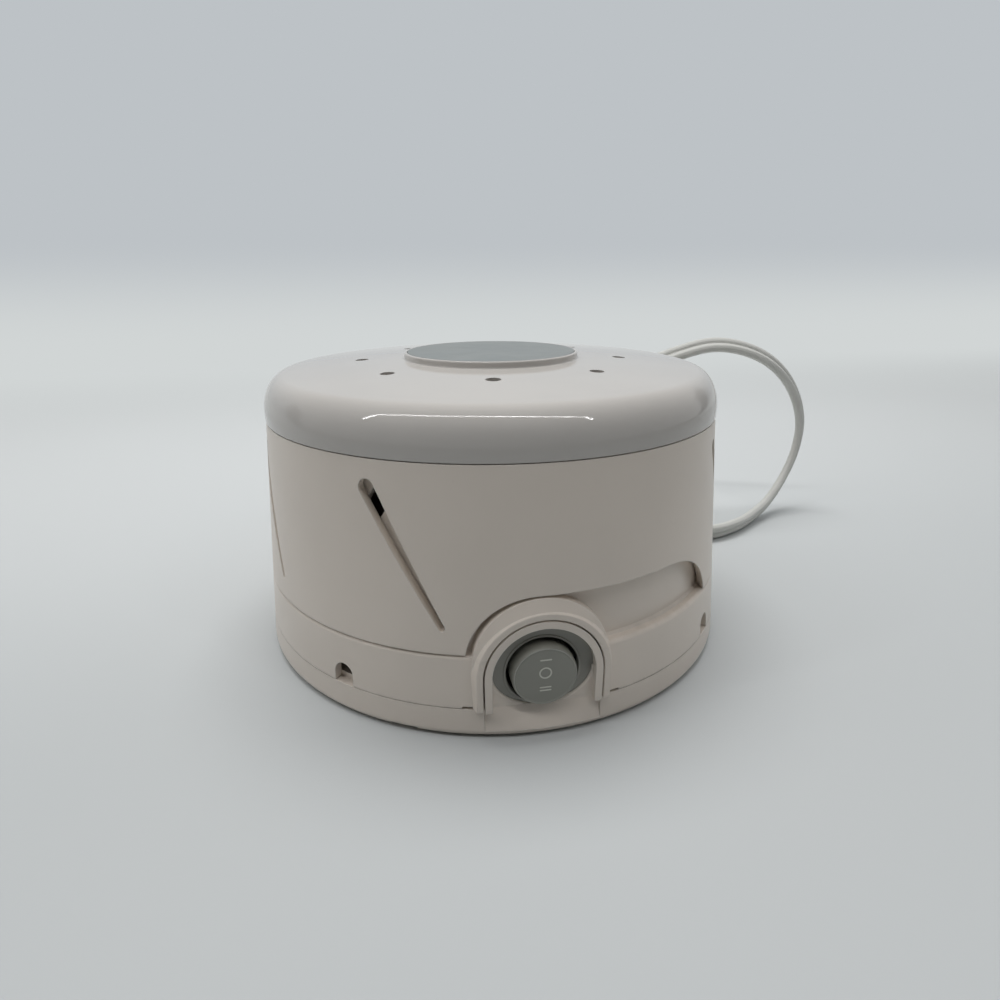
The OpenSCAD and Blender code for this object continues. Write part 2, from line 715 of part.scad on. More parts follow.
module motor_plate() {
    color("silver") translate([0, 0, plate_z0]) linear_extrude(plate_t) difference() {
        union() {
            square([2 * mount_x, bracket_w + 4], center = true);
            for (s = [-1, 1]) {
                translate([s * mount_x - 7, -mount_y]) square([14, 2 * mount_y]);
                for (y = [-mount_y, mount_y]) translate([s * mount_x, y]) circle(7);
            }
        }
        for (p = mount_xy) translate(p) circle(groove_r + fit);
        for (s = [-1, 1]) translate([s * motor_screw_x, 0]) circle(motor_screw_r + 0.2);
        circle(shaft_r + 4);
    }
}

module mount_grommets() {
    color("#2b2b2b") for (p = mount_xy) translate([p[0], p[1], grommet_z0]) rotate_extrude()
        polygon([[grommet_bore, 0], [grommet_r, 0], [grommet_r, plate_z0 - grommet_z0 - seat],
                 [groove_r, plate_z0 - grommet_z0 - seat], [groove_r, plate_z1 - grommet_z0 + seat],
                 [grommet_r, plate_z1 - grommet_z0 + seat], [grommet_r, grommet_h],
                 [grommet_bore, grommet_h]]);
}

module mount_screws() {
    color("silver") for (p = mount_xy) translate([p[0], p[1], grommet_z0 + grommet_h + seat])
        mirror([0, 0, 1]) pan_screw(grommet_h + post_h - 1);
}

// Stamped bridge with two spacer legs and a bearing cup; legs up, bar at z = 0
module bracket() {
    difference() {
        union() {
            translate([-motor_screw_x - leg_r, -bracket_w / 2, 0])
                cube([2 * (motor_screw_x + leg_r), bracket_w, bracket_t]);
            for (s = [-1, 1])
                translate([s * motor_screw_x, 0, 0]) cylinder(r = leg_r, h = bracket_t + bracket_leg_h);
            cylinder(r = cup_r, h = bearing_h + 1.4);
        }
        for (s = [-1, 1]) translate([s * motor_screw_x, 0, -1]) cylinder(r = motor_screw_r + fit, h = 30);
        translate([0, 0, 1.4]) cylinder(r = bearing_r + fit, h = 20);
        translate([0, 0, -1]) cylinder(r = shaft_r + 0.5, h = 20);
    }
}

module lower_bracket() { color("lightsteelblue") translate([0, 0, lower_z0]) bracket(); }
module upper_bracket() { color("lightsteelblue") translate([0, 0, upper_z1]) mirror([0, 0, 1]) bracket(); }

module bearing() {
    difference() {
        cylinder(r = bearing_r, h = bearing_h - seat);
        translate([0, 0, -1]) cylinder(r = shaft_r + fit, h = 20);
    }
}
module lower_bearing() { color("peru") translate([0, 0, lower_z0 + 1.4 + seat]) bearing(); }
module upper_bearing() { color("peru") translate([0, 0, upper_z1 - 1.4 - seat]) mirror([0, 0, 1]) bearing(); }

shade_x = 9.6;
shade_y = 10.6;
module lamination_stack() {
    color("slategray") translate([0, 0, stack_z0]) linear_extrude(stack_h) difference() {
        translate([-stack_w / 2, -18]) square([stack_w, core_y1 + 18]);
        circle(rotor_r + air_gap);
        // coil window
        translate([-14.5, core_y0 - 12]) square([29, 12]);
        for (s = [-1, 1]) {
            translate([s * motor_screw_x, 0]) circle(motor_screw_r + fit);
            rotate(180 * (s > 0 ? 1 : 0)) {
                translate([shade_x + 3.6, shade_y - 1.2]) square([2.4, 2.4]);
                translate([shade_x - 3.6, shade_y + 2.2]) square([2.4, 2.4]);
            }
        }
    }
}

module shading_rings() {
    color("chocolate") for (a = [0, 180]) rotate([0, 0, a]) {
        p = [shade_x + 4.8, shade_y];
        q = [shade_x - 2.4, shade_y + 3.4];
        for (c = [p, q])
            translate([c[0] - 1, c[1] - 1, stack_z0 - seat - 1.6]) cube([2, 2, stack_h + 2 * seat + 3.2]);
        for (z = [stack_z0 - seat - 1.6, stack_z1 + seat]) translate([0, 0, z]) linear_extrude(1.6)
            polygon([[p[0] - 1, p[1] - 1], [p[0] + 1, p[1] - 1], [p[0] + 1, p[1] + 1],
                     [q[0] + 1, q[1] + 1], [q[0] - 1, q[1] + 1], [q[0] - 1, q[1] - 1]]);
    }
}

bobbin_half = 14;
bobbin_t = 1.2;
core_mid = (core_y0 + core_y1) / 2;
core_half = (core_y1 - core_y0) / 2;
winding_t = 6.5;
module coil_tube(x0, x1, inner, outer) {
    translate([x0, core_mid, stack_z0 + stack_h / 2]) rotate([90, 0, 90]) linear_extrude(x1 - x0)
    difference() {
        square([2 * (core_half + outer), stack_h + 2 * outer], center = true);
        square([2 * (core_half + inner), stack_h + 2 * inner], center = true);
    }
}
module coil_bobbin() {
    color("ivory") {
        coil_tube(-bobbin_half, bobbin_half, 0.1, bobbin_t);
        for (x = [-bobbin_half, bobbin_half - bobbin_t])
            coil_tube(x, x + bobbin_t, 0.1, bobbin_t + winding_t);
    }
}
module coil_winding() {
    half_len = bobbin_half - bobbin_t - 0.1;
    w = core_half + bobbin_t + winding_t - 0.6;
    h = stack_h / 2 + bobbin_t + winding_t - 0.6;
    corner = 3;
    color("sienna") translate([-half_len, core_mid, stack_z0 + stack_h / 2]) rotate([90, 0, 90])
        linear_extrude(2 * half_len) difference() {
            union() {
                for (sx = [-1, 1], sy = [-1, 1])
                    translate([sx * (w - corner), sy * (h - corner)]) circle(corner, $fn = 32);
                square([2 * w, 2 * (h - corner)], center = true);
                square([2 * (w - corner), 2 * h], center = true);
            }
            square([2 * (core_half + bobbin_t + 0.1), stack_h + 2 * bobbin_t + 0.2], center = true);
        }
}

module motor_screws() {
    top = upper_z1 + 3.6;
    color("silver") for (s = [-1, 1]) translate([s * motor_screw_x, 0, 0]) {
        translate([0, 0, plate_z0 - seat - 2]) cylinder(r = 3, h = 2);
        translate([0, 0, plate_z0 - seat - 1]) cylinder(r = motor_screw_r, h = top - plate_z0 + seat + 1);
    }
}
module motor_nuts() {
    color("silver") for (s = [-1, 1]) translate([s * motor_screw_x, 0, upper_z1 + seat]) difference() {
        cylinder(r = 3.3, h = 2.4, $fn = 6);
        translate([0, 0, -1]) cylinder(r = motor_screw_r + fit, h = 5);
    }
}

shaft_z0 = lower_z0 + 0.6;
fan_z0 = upper_z1 + 4.2;
hub_r = 7;
hub_h = 9;
fan_disc_t = 1.4;
shaft_z1 = fan_z0 + hub_h + 0.8;

module motor_shaft() {
    color("lightgray") rotate_extrude() polygon([
        [0, shaft_z0], [shaft_r - 0.3, shaft_z0], [shaft_r, shaft_z0 + 0.3],
        [shaft_r, shaft_z1 - 0.3], [shaft_r - 0.3, shaft_z1], [0, shaft_z1]]);
}

module rotor() {
    ring_h = 1.6;
    color("gray") difference() {
        union() {
            translate([0, 0, stack_z0]) cylinder(r = rotor_r, h = stack_h);
            for (z = [stack_z0 - ring_h, stack_z1]) translate([0, 0, z]) difference() {
                cylinder(r = rotor_r - 0.6, h = ring_h);
                translate([0, 0, -1]) cylinder(r = rotor_r - 4, h = ring_h + 2);
            }
        }
        translate([0, 0, stack_z0 - 5]) cylinder(r = shaft_r + fit, h = stack_h + 10);
    }
}

// ---------------------------------------------------------------- fan
blade_root_r = 17;
module blade_section() {
    // arc blade: part of a ring whose centre is offset, kept between root and rim
    intersection() {
        difference() {
            circle(fan_r - 0.6);
            circle(blade_root_r);
        }
        translate([blade_root_r + 4, -blade_curve_r + 2]) difference() {
            circle(blade_curve_r);
            circle(blade_curve_r - blade_t);
        }
        translate([0, -fan_r]) square([fan_r, 2 * fan_r]);
        rotate(-90) translate([0, -4]) mirror([1, 0]) square([fan_r, fan_r]);
    }
}

module fan() {
    color("lightgray") difference() {
        union() {
            translate([0, 0, fan_z0]) cylinder(r = hub_r, h = hub_h);
            translate([0, 0, fan_z0]) rotate_extrude() polygon([[0, 0], [fan_r, 0], [fan_r, fan_disc_t],
                [hub_r + 2, fan_disc_t], [hub_r - 1, fan_disc_t + 4], [0, fan_disc_t + 4]]);
            for (k = [0:blade_count - 1]) rotate([0, 0, k * 360 / blade_count])
                translate([0, 0, fan_z0 + fan_disc_t - eps]) linear_extrude(blade_h) blade_section();
        }
        translate([0, 0, fan_z0 - 1]) cylinder(r = shaft_r + fit, h = hub_h + 4);
    }
}

module fan_collar() {
    color("silver") translate([0, 0, upper_z1 + 0.8]) difference() {
        cylinder(r = 4, h = fan_z0 - upper_z1 - 0.8 - seat);
        translate([0, 0, -1]) cylinder(r = shaft_r + fit, h = 8);
    }
}

// ---------------------------------------------------------------- cord entry and leads
module strain_relief() {
    in_z = gland_flange_y - side_r(gland_z);
    out_r = gland_hole_r + 1.2;
    out_z = out_r * tan(side_draft) + 0.1;
    color("gainsboro") translate([0, side_r(gland_z), gland_z]) rotate([-90, 0, 0]) difference() {
        rotate_extrude() polygon([[0, in_z - gland_flange_t], [gland_flange_r, in_z - gland_flange_t],
            [gland_flange_r, in_z], [gland_hole_r - 0.1, in_z], [gland_hole_r - 0.1, out_z],
            [out_r, out_z], [out_r, out_z + 1.7], [gland_hole_r, out_z + 2.9],
            [cord_w / 2 + 0.8, relief_len], [0, relief_len]]);
        translate([0, 0, -20]) linear_extrude(60) rotate(90) cord_section(seat);
    }
}

// Outline of the flat twin cord: two round conductors joined by a web
module cord_section(grow = 0) {
    r = cord_t / 2 + grow;
    for (s = [-1, 1]) translate([s * (cord_w - cord_t) / 2, 0]) circle(r, $fn = 32);
    square([cord_w - cord_t, cord_t * 0.8], center = true);
}

// Smooth curve through the points: steps samples on each span (Catmull-Rom)
function smooth(p, steps) = let (n = len(p) - 1) concat(
    [for (i = [0:n - 1], j = [0:steps - 1]) let (t = j / steps,
        a = p[max(i - 1, 0)], b = p[i], c = p[i + 1], d = p[min(i + 2, n)])
        0.5 * (2 * b + (c - a) * t + (2 * a - 5 * b + 4 * c - d) * t * t
            + (3 * b - a - 3 * c + d) * t * t * t)],
    [p[n]]);
function unit(v) = v / norm(v);

// Side directions carried along the path without twist
function carried(t, i, v) = i == len(t) ? [] :
    let (w = unit(v - (v * t[i]) * t[i])) concat([w], carried(t, i + 1, w));

// Tube of an elliptical section along a path: its wide axis starts upright
module tube(path, thick, wide, sides = 8) {
    n = len(path);
    t = [for (i = [0:n - 1]) unit(path[min(i + 1, n - 1)] - path[max(i - 1, 0)])];
    side = carried(t, 0, cross(t[0], abs(t[0][2]) > 0.9 ? [0, 1, 0] : [0, 0, 1]));
    grow = 1 / cos(180 / sides);
    rings = [for (i = [0:n - 1], k = [0:sides - 1]) let (a = 360 * (k + 0.5) / sides)
        path[i] + side[i] * thick / 2 * cos(a) * grow + cross(side[i], t[i]) * wide / 2 * sin(a) * grow];
    polyhedron(rings, concat([[for (k = [0:sides - 1]) k]],
        [for (i = [0:n - 2], k = [0:sides - 1])
            let (r0 = i * sides, r1 = (i + 1) * sides, m = (k + 1) % sides) [r0 + k, r1 + k, r1 + m, r0 + m]],
        [[for (k = [sides - 1:-1:0]) (n - 1) * sides + k]]));
}

module wire(points, r) { tube(smooth(points, 5), 2 * r, 2 * r); }

connector_x = 44;
connector_y = 26;
connector_len = 10;
lead_z = 8;
lead_r = 1;
lead_gap = 0.3;        // gap at a lead's end
coil_end_x = bobbin_half + 1.2;

module supply_leads() {
    y = gland_flange_y - gland_flange_t + 1;
    color("white") for (s = [-1, 1])
        wire([[0, y, gland_z + s * 1.7], [s * 1.5, y - 5, gland_z + s * 1.5], [s * 14, side_r0 - 21.6, 11],
              [s * 36, side_r0 - 31.6, lead_z], [s * connector_x, connector_y + 4, lead_z],
              [s * connector_x, connector_y + lead_gap, lead_z]], lead_r);
}

module lead_connectors() {
    color("cornflowerblue") for (s = [-1, 1]) translate([s * connector_x, connector_y, lead_z])
        rotate([90, 0, 0]) cylinder(r1 = 3, r2 = 2.4, h = connector_len, $fn = 48);
}

// Point on the way out of a switch tab, d behind the tab's end
function tab_out(k, d) = panel_point(0, k * tab_pitch, -tab_end) + [0, d, 0];

module switch_leads() {
    y = connector_y - connector_len - lead_gap;
    color("black") {
        wire([[-connector_x, y, lead_z], [-connector_x, y - 4, lead_z], [-50, 0, lead_z], [-40, -25, lead_z],
              [-18, -36, 7.4], tab_out(-1, 4.5), tab_out(-1, 2), tab_out(-1, 0.5)], lead_r);
        wire([tab_out(0, 0.5), tab_out(0, 2), tab_out(0, 4.5), [-20, -35, 14], [-40, -22, 14], [-45, 0, 16],
              [-42, 22, 18], [-28, 34, 20], [-coil_end_x, core_mid, 20]], lead_r);
        wire([tab_out(1, 0.5), tab_out(1, 2), tab_out(1, 4.5), [20, -34, 18], [40, -22, 14], [45, 0, 16],
              [42, 22, 18], [28, 34, 20], [coil_end_x, core_mid, 20]], lead_r);
    }
}

module coil_lead() {
    y = connector_y - connector_len - lead_gap;
    color("white") wire([[connector_x, y, lead_z], [connector_x, y - 3, lead_z], [connector_x + 3, y - 7, 10],
        [connector_x + 6, y, 18], [connector_x + 2, 30, 20], [30, 42, 20], [coil_end_x, 42, 21]], lead_r);
}

// ---------------------------------------------------------------- cord, coil and plug
// Points of the cord from the strain relief to the coil
lead_y0 = side_r(gland_z) + relief_len;
lead_points = [[0, lead_y0 + 0.3, gland_z], [0, lead_y0 + 8, gland_z - 0.7], [0, 118, 9.7], [0, 130, 6.3],
    [0, 142, 4.6], [0, 155, 4.3]];
// Points from the coil round the side, over the standing bend and behind the housing to the plug
run_points = [[88, 155, 11.4], [87, 142, 11], [84, 128, 8], [79, 114, 4.8], [72, 100, 3.6], [65, 85, 3.6],
    [62, 70, 3.6], [63, 55, 3.6], [71, 41, 3.6], [84, 32, 3.6], [99, 30, 3.6], [113, 35, 3.6], [125, 43, 3.8],
    [137, 51, 6.5], [148, 58, 15], [154, 61, 28], [154, 62, 42], [147, 62, 56], [135, 61, 67], [121, 61.5, 73.5],
    [106, 63, 75.5], [91, 65, 72], [75, 67, 66], [58, 67.5, 60], [40, 66.5, 54], [22, 68.4, 48], [2, 71.8, 41],
    [-18, 73.5, 32], [-36, 78, 22], [-49, 88, 13], [-56, 101, 7.5], [-59, 114, 7.2], [-60, 126, 7.5]];
coil_centre = [44, 155];
coil_z0 = 0.75;
coil_layer_h = 7.1;
coil_z1 = coil_z0 + 2 * coil_layer_h - 0.1;
tie_t = 0.6;
tie_w = 5;
plug_at = run_points[len(run_points) - 1] + [0, 0.2, 0];

module cord_lead() { color("gainsboro") tube(smooth(lead_points, 2), cord_t, cord_w); }
module cord_run() { color("gainsboro") tube(smooth(run_points, 2), cord_t, cord_w); }

module cord_coil() {
    color("gainsboro") translate([coil_centre[0], coil_centre[1], 0]) rotate_extrude()
        translate([coil_mid_r - coil_band / 2, coil_z0]) square([coil_band, coil_z1 - coil_z0]);
}

module cord_tie() {
    gap = 0.1;
    color("white") translate([coil_centre[0] - tie_w / 2, coil_centre[1] + coil_mid_r, 0]) rotate([90, 0, 90])
        linear_extrude(tie_w) difference() {
            translate([-coil_band / 2 - gap - tie_t - 0.6, coil_z0 - gap - tie_t])
                square([coil_band + 2 * (gap + tie_t + 0.6), coil_z1 - coil_z0 + 2 * (gap + tie_t)]);
            translate([-coil_band / 2 - gap - 0.6, coil_z0 - gap])
                square([coil_band + 2 * (gap + 0.6), coil_z1 - coil_z0 + 2 * gap]);
        }
}

plug_w = 24;
plug_h = 15;
plug_len = 30;
module plug_body() {
    color("gainsboro") translate(plug_at) rotate([-90, 0, 0]) {
        hull() {
            translate([0, 0, 9]) linear_extrude(plug_len - 9)
                offset(3, $fn = 32) square([plug_w - 6, plug_h - 6], center = true);
            cylinder(r = cord_w / 2 + 1.2, h = 1, $fn = 32);
        }
    }
}

module plug_blades() {
    blade_pitch = 12.7;
    blade_len = 17;
    color("silver") for (s = [-1, 1]) {
        w = s < 0 ? 7.9 : 6.3;
        translate([plug_at[0] + s * blade_pitch / 2, plug_at[1] + plug_len + seat, plug_at[2]])
            rotate([-90, 0, 0]) difference() {
                linear_extrude(blade_len) square([1.5, w], center = true);
                translate([-2, 0, blade_len - 4]) rotate([0, 90, 0]) cylinder(r = 1.5, h = 4);
            }
    }
}

bottom_cover();
housing();
collar();
cap();
badge_disc();
cap_washer();
cap_screw();
switch_bezel();
switch_body();
rocker();
switch_terminals();
rubber_feet();
cover_screws();
motor_plate();
mount_grommets();
mount_screws();
lower_bracket();
upper_bracket();
lower_bearing();
upper_bearing();
lamination_stack();
coil_bobbin();
coil_winding();
shading_rings();
motor_screws();
motor_nuts();
rotor();
motor_shaft();
fan();
fan_collar();
strain_relief();
supply_leads();
switch_leads();
lead_connectors();
coil_lead();
cord_lead();
cord_run();
cord_coil();
cord_tie();
plug_body();
plug_blades();
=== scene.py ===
# %% [markdown]
# # A fan-driven white noise machine
# A small motor turns a centrifugal fan inside a tapered plastic drum. Turning the slotted
# collar and the perforated cap changes how much of the rushing air gets out, and with it
# the tone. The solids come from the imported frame; this file gives every one of them its
# finish, and makes again as smooth surfaces those whose curves catch the light.

# %% Load the frame
import json
import math
import bpy
import numpy as np
from mathutils import Matrix, Vector


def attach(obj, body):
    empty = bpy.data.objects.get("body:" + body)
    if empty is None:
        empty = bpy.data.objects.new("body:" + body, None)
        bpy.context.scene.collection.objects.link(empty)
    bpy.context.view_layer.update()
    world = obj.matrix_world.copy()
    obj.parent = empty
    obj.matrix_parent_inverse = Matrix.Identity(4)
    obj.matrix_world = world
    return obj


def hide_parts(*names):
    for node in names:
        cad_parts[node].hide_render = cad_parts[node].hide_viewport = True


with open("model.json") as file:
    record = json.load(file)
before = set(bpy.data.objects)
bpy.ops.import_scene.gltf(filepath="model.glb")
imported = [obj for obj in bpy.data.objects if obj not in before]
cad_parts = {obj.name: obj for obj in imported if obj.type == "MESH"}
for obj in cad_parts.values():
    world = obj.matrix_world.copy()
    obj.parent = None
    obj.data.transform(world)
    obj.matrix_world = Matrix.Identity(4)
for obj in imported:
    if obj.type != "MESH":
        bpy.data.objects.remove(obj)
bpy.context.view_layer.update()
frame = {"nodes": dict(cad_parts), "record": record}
nodes = frame["nodes"]
MM = 0.001                              # metres in a millimetre

# %% [markdown]
# ## The camera
# The camera looks down at the front of the machine from close by, so the round top shows
# as a wide ellipse. Its place and angles are written as real distances and degrees. The
# lens is given by its focal length in widths of the picture.

# %% Camera
CAMERA_AT = np.array([-31.63, -187.02, 105.02]) * MM
CAMERA_YAW, CAMERA_PITCH, CAMERA_ROLL = 10.297, -25.039, -0.392   # degrees, yaw from +Y towards +X
SENSOR_MM = 36
FOCAL_WIDTHS = 0.6066                                             # focal length over the picture's width
OPTICAL_CENTRE_DROP = 0.053                                       # of the picture's width, below its middle


def camera_axes(yaw, pitch, roll):
    """Right, up and backward unit vectors of a camera from its three angles in degrees."""
    y, p, r = np.radians((yaw, pitch, roll))
    forward = np.array([math.sin(y) * math.cos(p), math.cos(y) * math.cos(p), math.sin(p)])
    level = np.cross(forward, (0, 0, 1))
    level /= np.linalg.norm(level)
    upright = np.cross(level, forward)
    right = level * math.cos(r) + upright * math.sin(r)
    up = upright * math.cos(r) - level * math.sin(r)
    return right, up, -forward


camera = bpy.data.objects.new("camera", bpy.data.cameras.new("camera"))
bpy.context.scene.collection.objects.link(camera)
camera.data.sensor_width = SENSOR_MM
camera.data.lens = SENSOR_MM * FOCAL_WIDTHS
camera.data.shift_y = OPTICAL_CENTRE_DROP
camera.data.clip_start, camera.data.clip_end = 0.005, 50
pose = np.eye(4)
pose[:3, :3] = np.column_stack(camera_axes(CAMERA_YAW, CAMERA_PITCH, CAMERA_ROLL))
pose[:3, 3] = CAMERA_AT
camera.matrix_world = Matrix(pose.tolist())
bpy.context.scene.camera = camera
print("camera is", round(float(np.linalg.norm(CAMERA_AT)) / MM), "mm from the foot of the machine's axis")

# %% [markdown]
# ## Meshes from arrays
# Every new surface below is a grid: rows of points, each row a ring or a line. One helper
# turns such an array into a mesh, closing it round the ring and over the two ends where
# asked, so no loop ever walks over single vertices.

# %% Grid to mesh
def add_mesh(name, points, faces, smooth_degrees=35):
    """A mesh object from an (n, 3) array in metres and a list of faces, smooth except over sharp edges."""
    mesh = bpy.data.meshes.new(name)
    mesh.from_pydata(points.tolist(), [], faces)
    mesh.validate()
    mesh.shade_smooth()
    mesh.set_sharp_from_angle(angle=math.radians(smooth_degrees))
    piece = bpy.data.objects.new(name, mesh)
    bpy.context.scene.collection.objects.link(piece)
    return piece


def grid_faces(rows, columns, ring=True, cap_start=False, cap_end=False, closed_rows=False):
    """Quads between neighbouring rows of a rows by columns grid, as index lists, and its end caps."""
    r = np.arange(rows if closed_rows else rows - 1)[:, None]
    c = np.arange(columns if ring else columns - 1)[None, :]
    d, below = (c + 1) % columns, (r + 1) % rows
    quads = np.stack([r * columns + c, r * columns + d, below * columns + d, below * columns + c], axis=-1)
    faces = quads.reshape(-1, 4).tolist()
    if cap_start:
        faces.append(list(range(columns))[::-1])
    if cap_end:
        faces.append(list(range((rows - 1) * columns, rows * columns)))
    return faces


def grid_mesh(name, points, ring=True, caps=(False, False), smooth_degrees=35):
    """A mesh object from a (rows, columns, 3) array of points in metres."""
    rows, columns, _ = points.shape
    return add_mesh(name, points.reshape(-1, 3), grid_faces(rows, columns, ring, *caps), smooth_degrees)

# %% [markdown]
# ## The cord
# The lead is a flat twin cord, two round conductors side by side, one of them ribbed so
# that it can be told apart by touch. It comes out of the strain relief at the back, is
# wound up for storage behind the machine, runs round its side, stands up in a loose bend,
# lies against the housing and ends in a plug on the table. The stretches that aren't
# coiled follow listed points; the coil is a formula.

# %% Cord route
CORD_WIDE, CORD_THICK = 7.0, 3.6        # mm
GLAND_AT = (0, 72.1, 13.2)              # where the strain relief leaves the housing
LEAD_POINTS = [(0, 98.4, 13.2), (0, 106.1, 12.5), (0, 118, 9.7), (0, 130, 6.3), (0, 142, 4.6), (0, 155, 4.3)]
RUN_POINTS = [
    (88, 155, 11.4), (87, 142, 11), (84, 128, 8), (79, 114, 4.8), (72, 100, 3.6), (65, 85, 3.6),
    (62, 70, 3.6), (63, 55, 3.6), (71, 41, 3.6), (84, 32, 3.6), (99, 30, 3.6), (113, 35, 3.6), (125, 43, 3.8),
    (137, 51, 6.5), (148, 58, 15), (154, 61, 28), (154, 62, 42), (147, 62, 56), (135, 61, 67), (121, 61.5, 73.5),
    (106, 63, 75.5), (91, 65, 72), (75, 67, 66), (58, 67.5, 60), (40, 66.5, 54), (22, 68.4, 48), (2, 71.8, 41),
    (-18, 73.5, 32), (-36, 78, 22), (-49, 88, 13), (-56, 101, 7.5), (-59, 114, 7.2), (-60, 126, 7.5)]
COIL_CENTRE = (44, 155)
COIL_OUTER_R, COIL_PITCH, COIL_TURNS = 44.0, 3.8, 6.5
COIL_LOW, COIL_LAYER = 4.3, 7.1         # height of the lower layer and step to the upper one


def smooth_line(points, steps):
    """Catmull-Rom curve: each span is the cubic through its two points whose slopes are the neighbours' chords."""
    p = np.array(points, float)
    a, b, c, d = np.vstack([p[:1], p[:-2]]), p[:-1], p[1:], np.vstack([p[2:], p[-1:]])
    t = (np.arange(steps) / steps)[None, :, None]
    a, b, c, d = (x[:, None, :] for x in (a, b, c, d))
    curve = 0.5 * (2 * b + (c - a) * t + (2 * a - 5 * b + 4 * c - d) * t**2 + (3 * b - a - 3 * c + d) * t**3)
    return np.vstack([curve.reshape(-1, 3), p[-1:]])


def smoothstep(x):
    """3x² - 2x³ on x held between 0 and 1: rises from 0 to 1 with level ends."""
    x = np.clip(x, 0, 1)
    return x * x * (3 - 2 * x)


def coil_line(samples_per_turn=72):
    """Clockwise turns: the radius shrinks by one pitch a turn to the middle, then grows again one layer higher."""
    turned = np.linspace(0, COIL_TURNS, int(COIL_TURNS * samples_per_turn) + 1)
    radius = COIL_OUTER_R - COIL_PITCH * np.minimum(turned, COIL_TURNS - turned)
    angle = np.pi - 2 * np.pi * turned
    height = COIL_LOW + COIL_LAYER * smoothstep((turned - COIL_TURNS / 2 + 0.2) / 0.4)
    return np.column_stack([COIL_CENTRE[0] + radius * np.cos(angle), COIL_CENTRE[1] + radius * np.sin(angle), height])


def even_steps(line, step):
    """The same line with points an even step apart along it."""
    along = np.concatenate([[0], np.cumsum(np.linalg.norm(np.diff(line, axis=0), axis=1))])
    wanted = np.linspace(0, along[-1], int(along[-1] / step) + 1)
    return np.column_stack([np.interp(wanted, along, line[:, k]) for k in range(3)])


route = np.vstack([smooth_line(LEAD_POINTS, 10)[:-1], coil_line(), smooth_line(RUN_POINTS, 10)[1:]])
route = even_steps(route, 2.4) * MM


# %% Cord surface
def carried_sides(line):
    """Unit vectors along and across a line; the second starts level and is carried along without twist."""
    tangent = np.gradient(line, axis=0)
    tangent /= np.linalg.norm(tangent, axis=1)[:, None]
    side = np.cross(tangent[0], (0, 0, 1))
    sides = []
    for t in tangent:
        side = side - (side @ t) * t
        side /= np.linalg.norm(side)
        sides.append(side)
    return tangent, np.array(sides)


def twin_outline(ribs=9, rib_height=0.1):
    """Two arcs of a circle, each from notch to notch round its own conductor; the first is finely ribbed."""
    angle = np.linspace(-2.55, 2.55, 28)
    plain, offset = CORD_THICK / 2, (CORD_WIDE - CORD_THICK) / 2
    ribbed = plain - rib_height * (0.5 - 0.5 * np.cos(ribs * angle))
    wide = np.concatenate([offset + ribbed * np.cos(angle), -offset - plain * np.cos(angle)])
    thick = np.concatenate([ribbed * np.sin(angle), -plain * np.sin(angle)])
    return wide * MM, thick * MM


def swept_cord(name, line):
    """The twin outline carried along the line; its long axis starts upright."""
    tangent, side = carried_sides(line)
    upright = np.cross(side, tangent)
    wide, thick = twin_outline()
    points = line[:, None, :] + side[:, None, :] * thick[None, :, None] + upright[:, None, :] * wide[None, :, None]
    return grid_mesh(name, points, caps=(True, True), smooth_degrees=60)


power_cord = swept_cord("power_cord", route)
print("cord mesh:", len(power_cord.data.polygons), "faces")

# %% [markdown]
# ## Round parts
# Most of this machine is turned about an upright axis, and so are its small parts about
# their own. A profile is a short list of radius and height; where it curves, arcs and
# ellipses fill it in. One function carries such a profile round an axis, so a part is
# written as the outline that a lathe tool would follow.

# %% Profiles and turning
def ellipse(centre_r, centre_z, rx, rz, start, end, count=12):
    """Points (radius, height) on an ellipse, from one angle to another in degrees."""
    a = np.radians(np.linspace(start, end, count))
    return np.column_stack([centre_r + rx * np.cos(a), centre_z + rz * np.sin(a)])


def profile(*pieces):
    """One (n, 2) array from points and arrays of points in millimetres."""
    return np.vstack([np.atleast_2d(np.array(piece, float)) for piece in pieces])


def turned(line, count=96, centre=(0, 0, 0), x_axis=(1, 0, 0), y_axis=(0, 1, 0)):
    """Rings of points: radius along the turning x and y axes, height along their cross product."""
    angle = np.arange(count) / count * 2 * np.pi
    x_axis, y_axis = np.array(x_axis, float), np.array(y_axis, float)
    spoke = np.cos(angle)[:, None] * x_axis + np.sin(angle)[:, None] * y_axis
    rise = np.cross(x_axis, y_axis)
    return (np.array(centre, float) + line[:, None, :1] * spoke[None] + line[:, None, 1:] * rise) * MM


def turned_shape(line, count=96, **axes):
    """Points and faces of the solid inside an outline that starts and ends on the axis."""
    outward = np.sum(line[:-1, 0] * line[1:, 1] - line[1:, 0] * line[:-1, 1]) > 0
    points = turned(line if outward else line[::-1], count, **axes)
    rows = points[1:-1]
    ring = np.arange(count)
    after, n = (ring + 1) % count, len(rows) * count
    faces = grid_faces(len(rows), count)
    faces += np.column_stack([np.full(count, n), after, ring]).tolist()
    faces += np.column_stack([np.full(count, n + 1), n - count + ring, n - count + after]).tolist()
    return np.vstack([rows.reshape(-1, 3), points[0, :1], points[-1, :1]]), faces


def stacked(*shapes):
    """Several (points, faces) pairs as one pair."""
    starts = np.cumsum([0] + [len(points) for points, _ in shapes[:-1]]).tolist()
    faces = [[v + start for v in face] for (_, faces), start in zip(shapes, starts) for face in faces]
    return np.vstack([points for points, _ in shapes]), faces


def cut_from(piece, cutter):
    """The piece less the cutter's space; the cutter is gone afterwards."""
    step = piece.modifiers.new("cut", "BOOLEAN")
    step.operation, step.solver, step.object = "DIFFERENCE", "EXACT", cutter
    made = bpy.data.meshes.new_from_object(piece.evaluated_get(bpy.context.evaluated_depsgraph_get()))
    piece.modifiers.clear()
    piece.data = made
    bpy.data.objects.remove(cutter)
    return piece


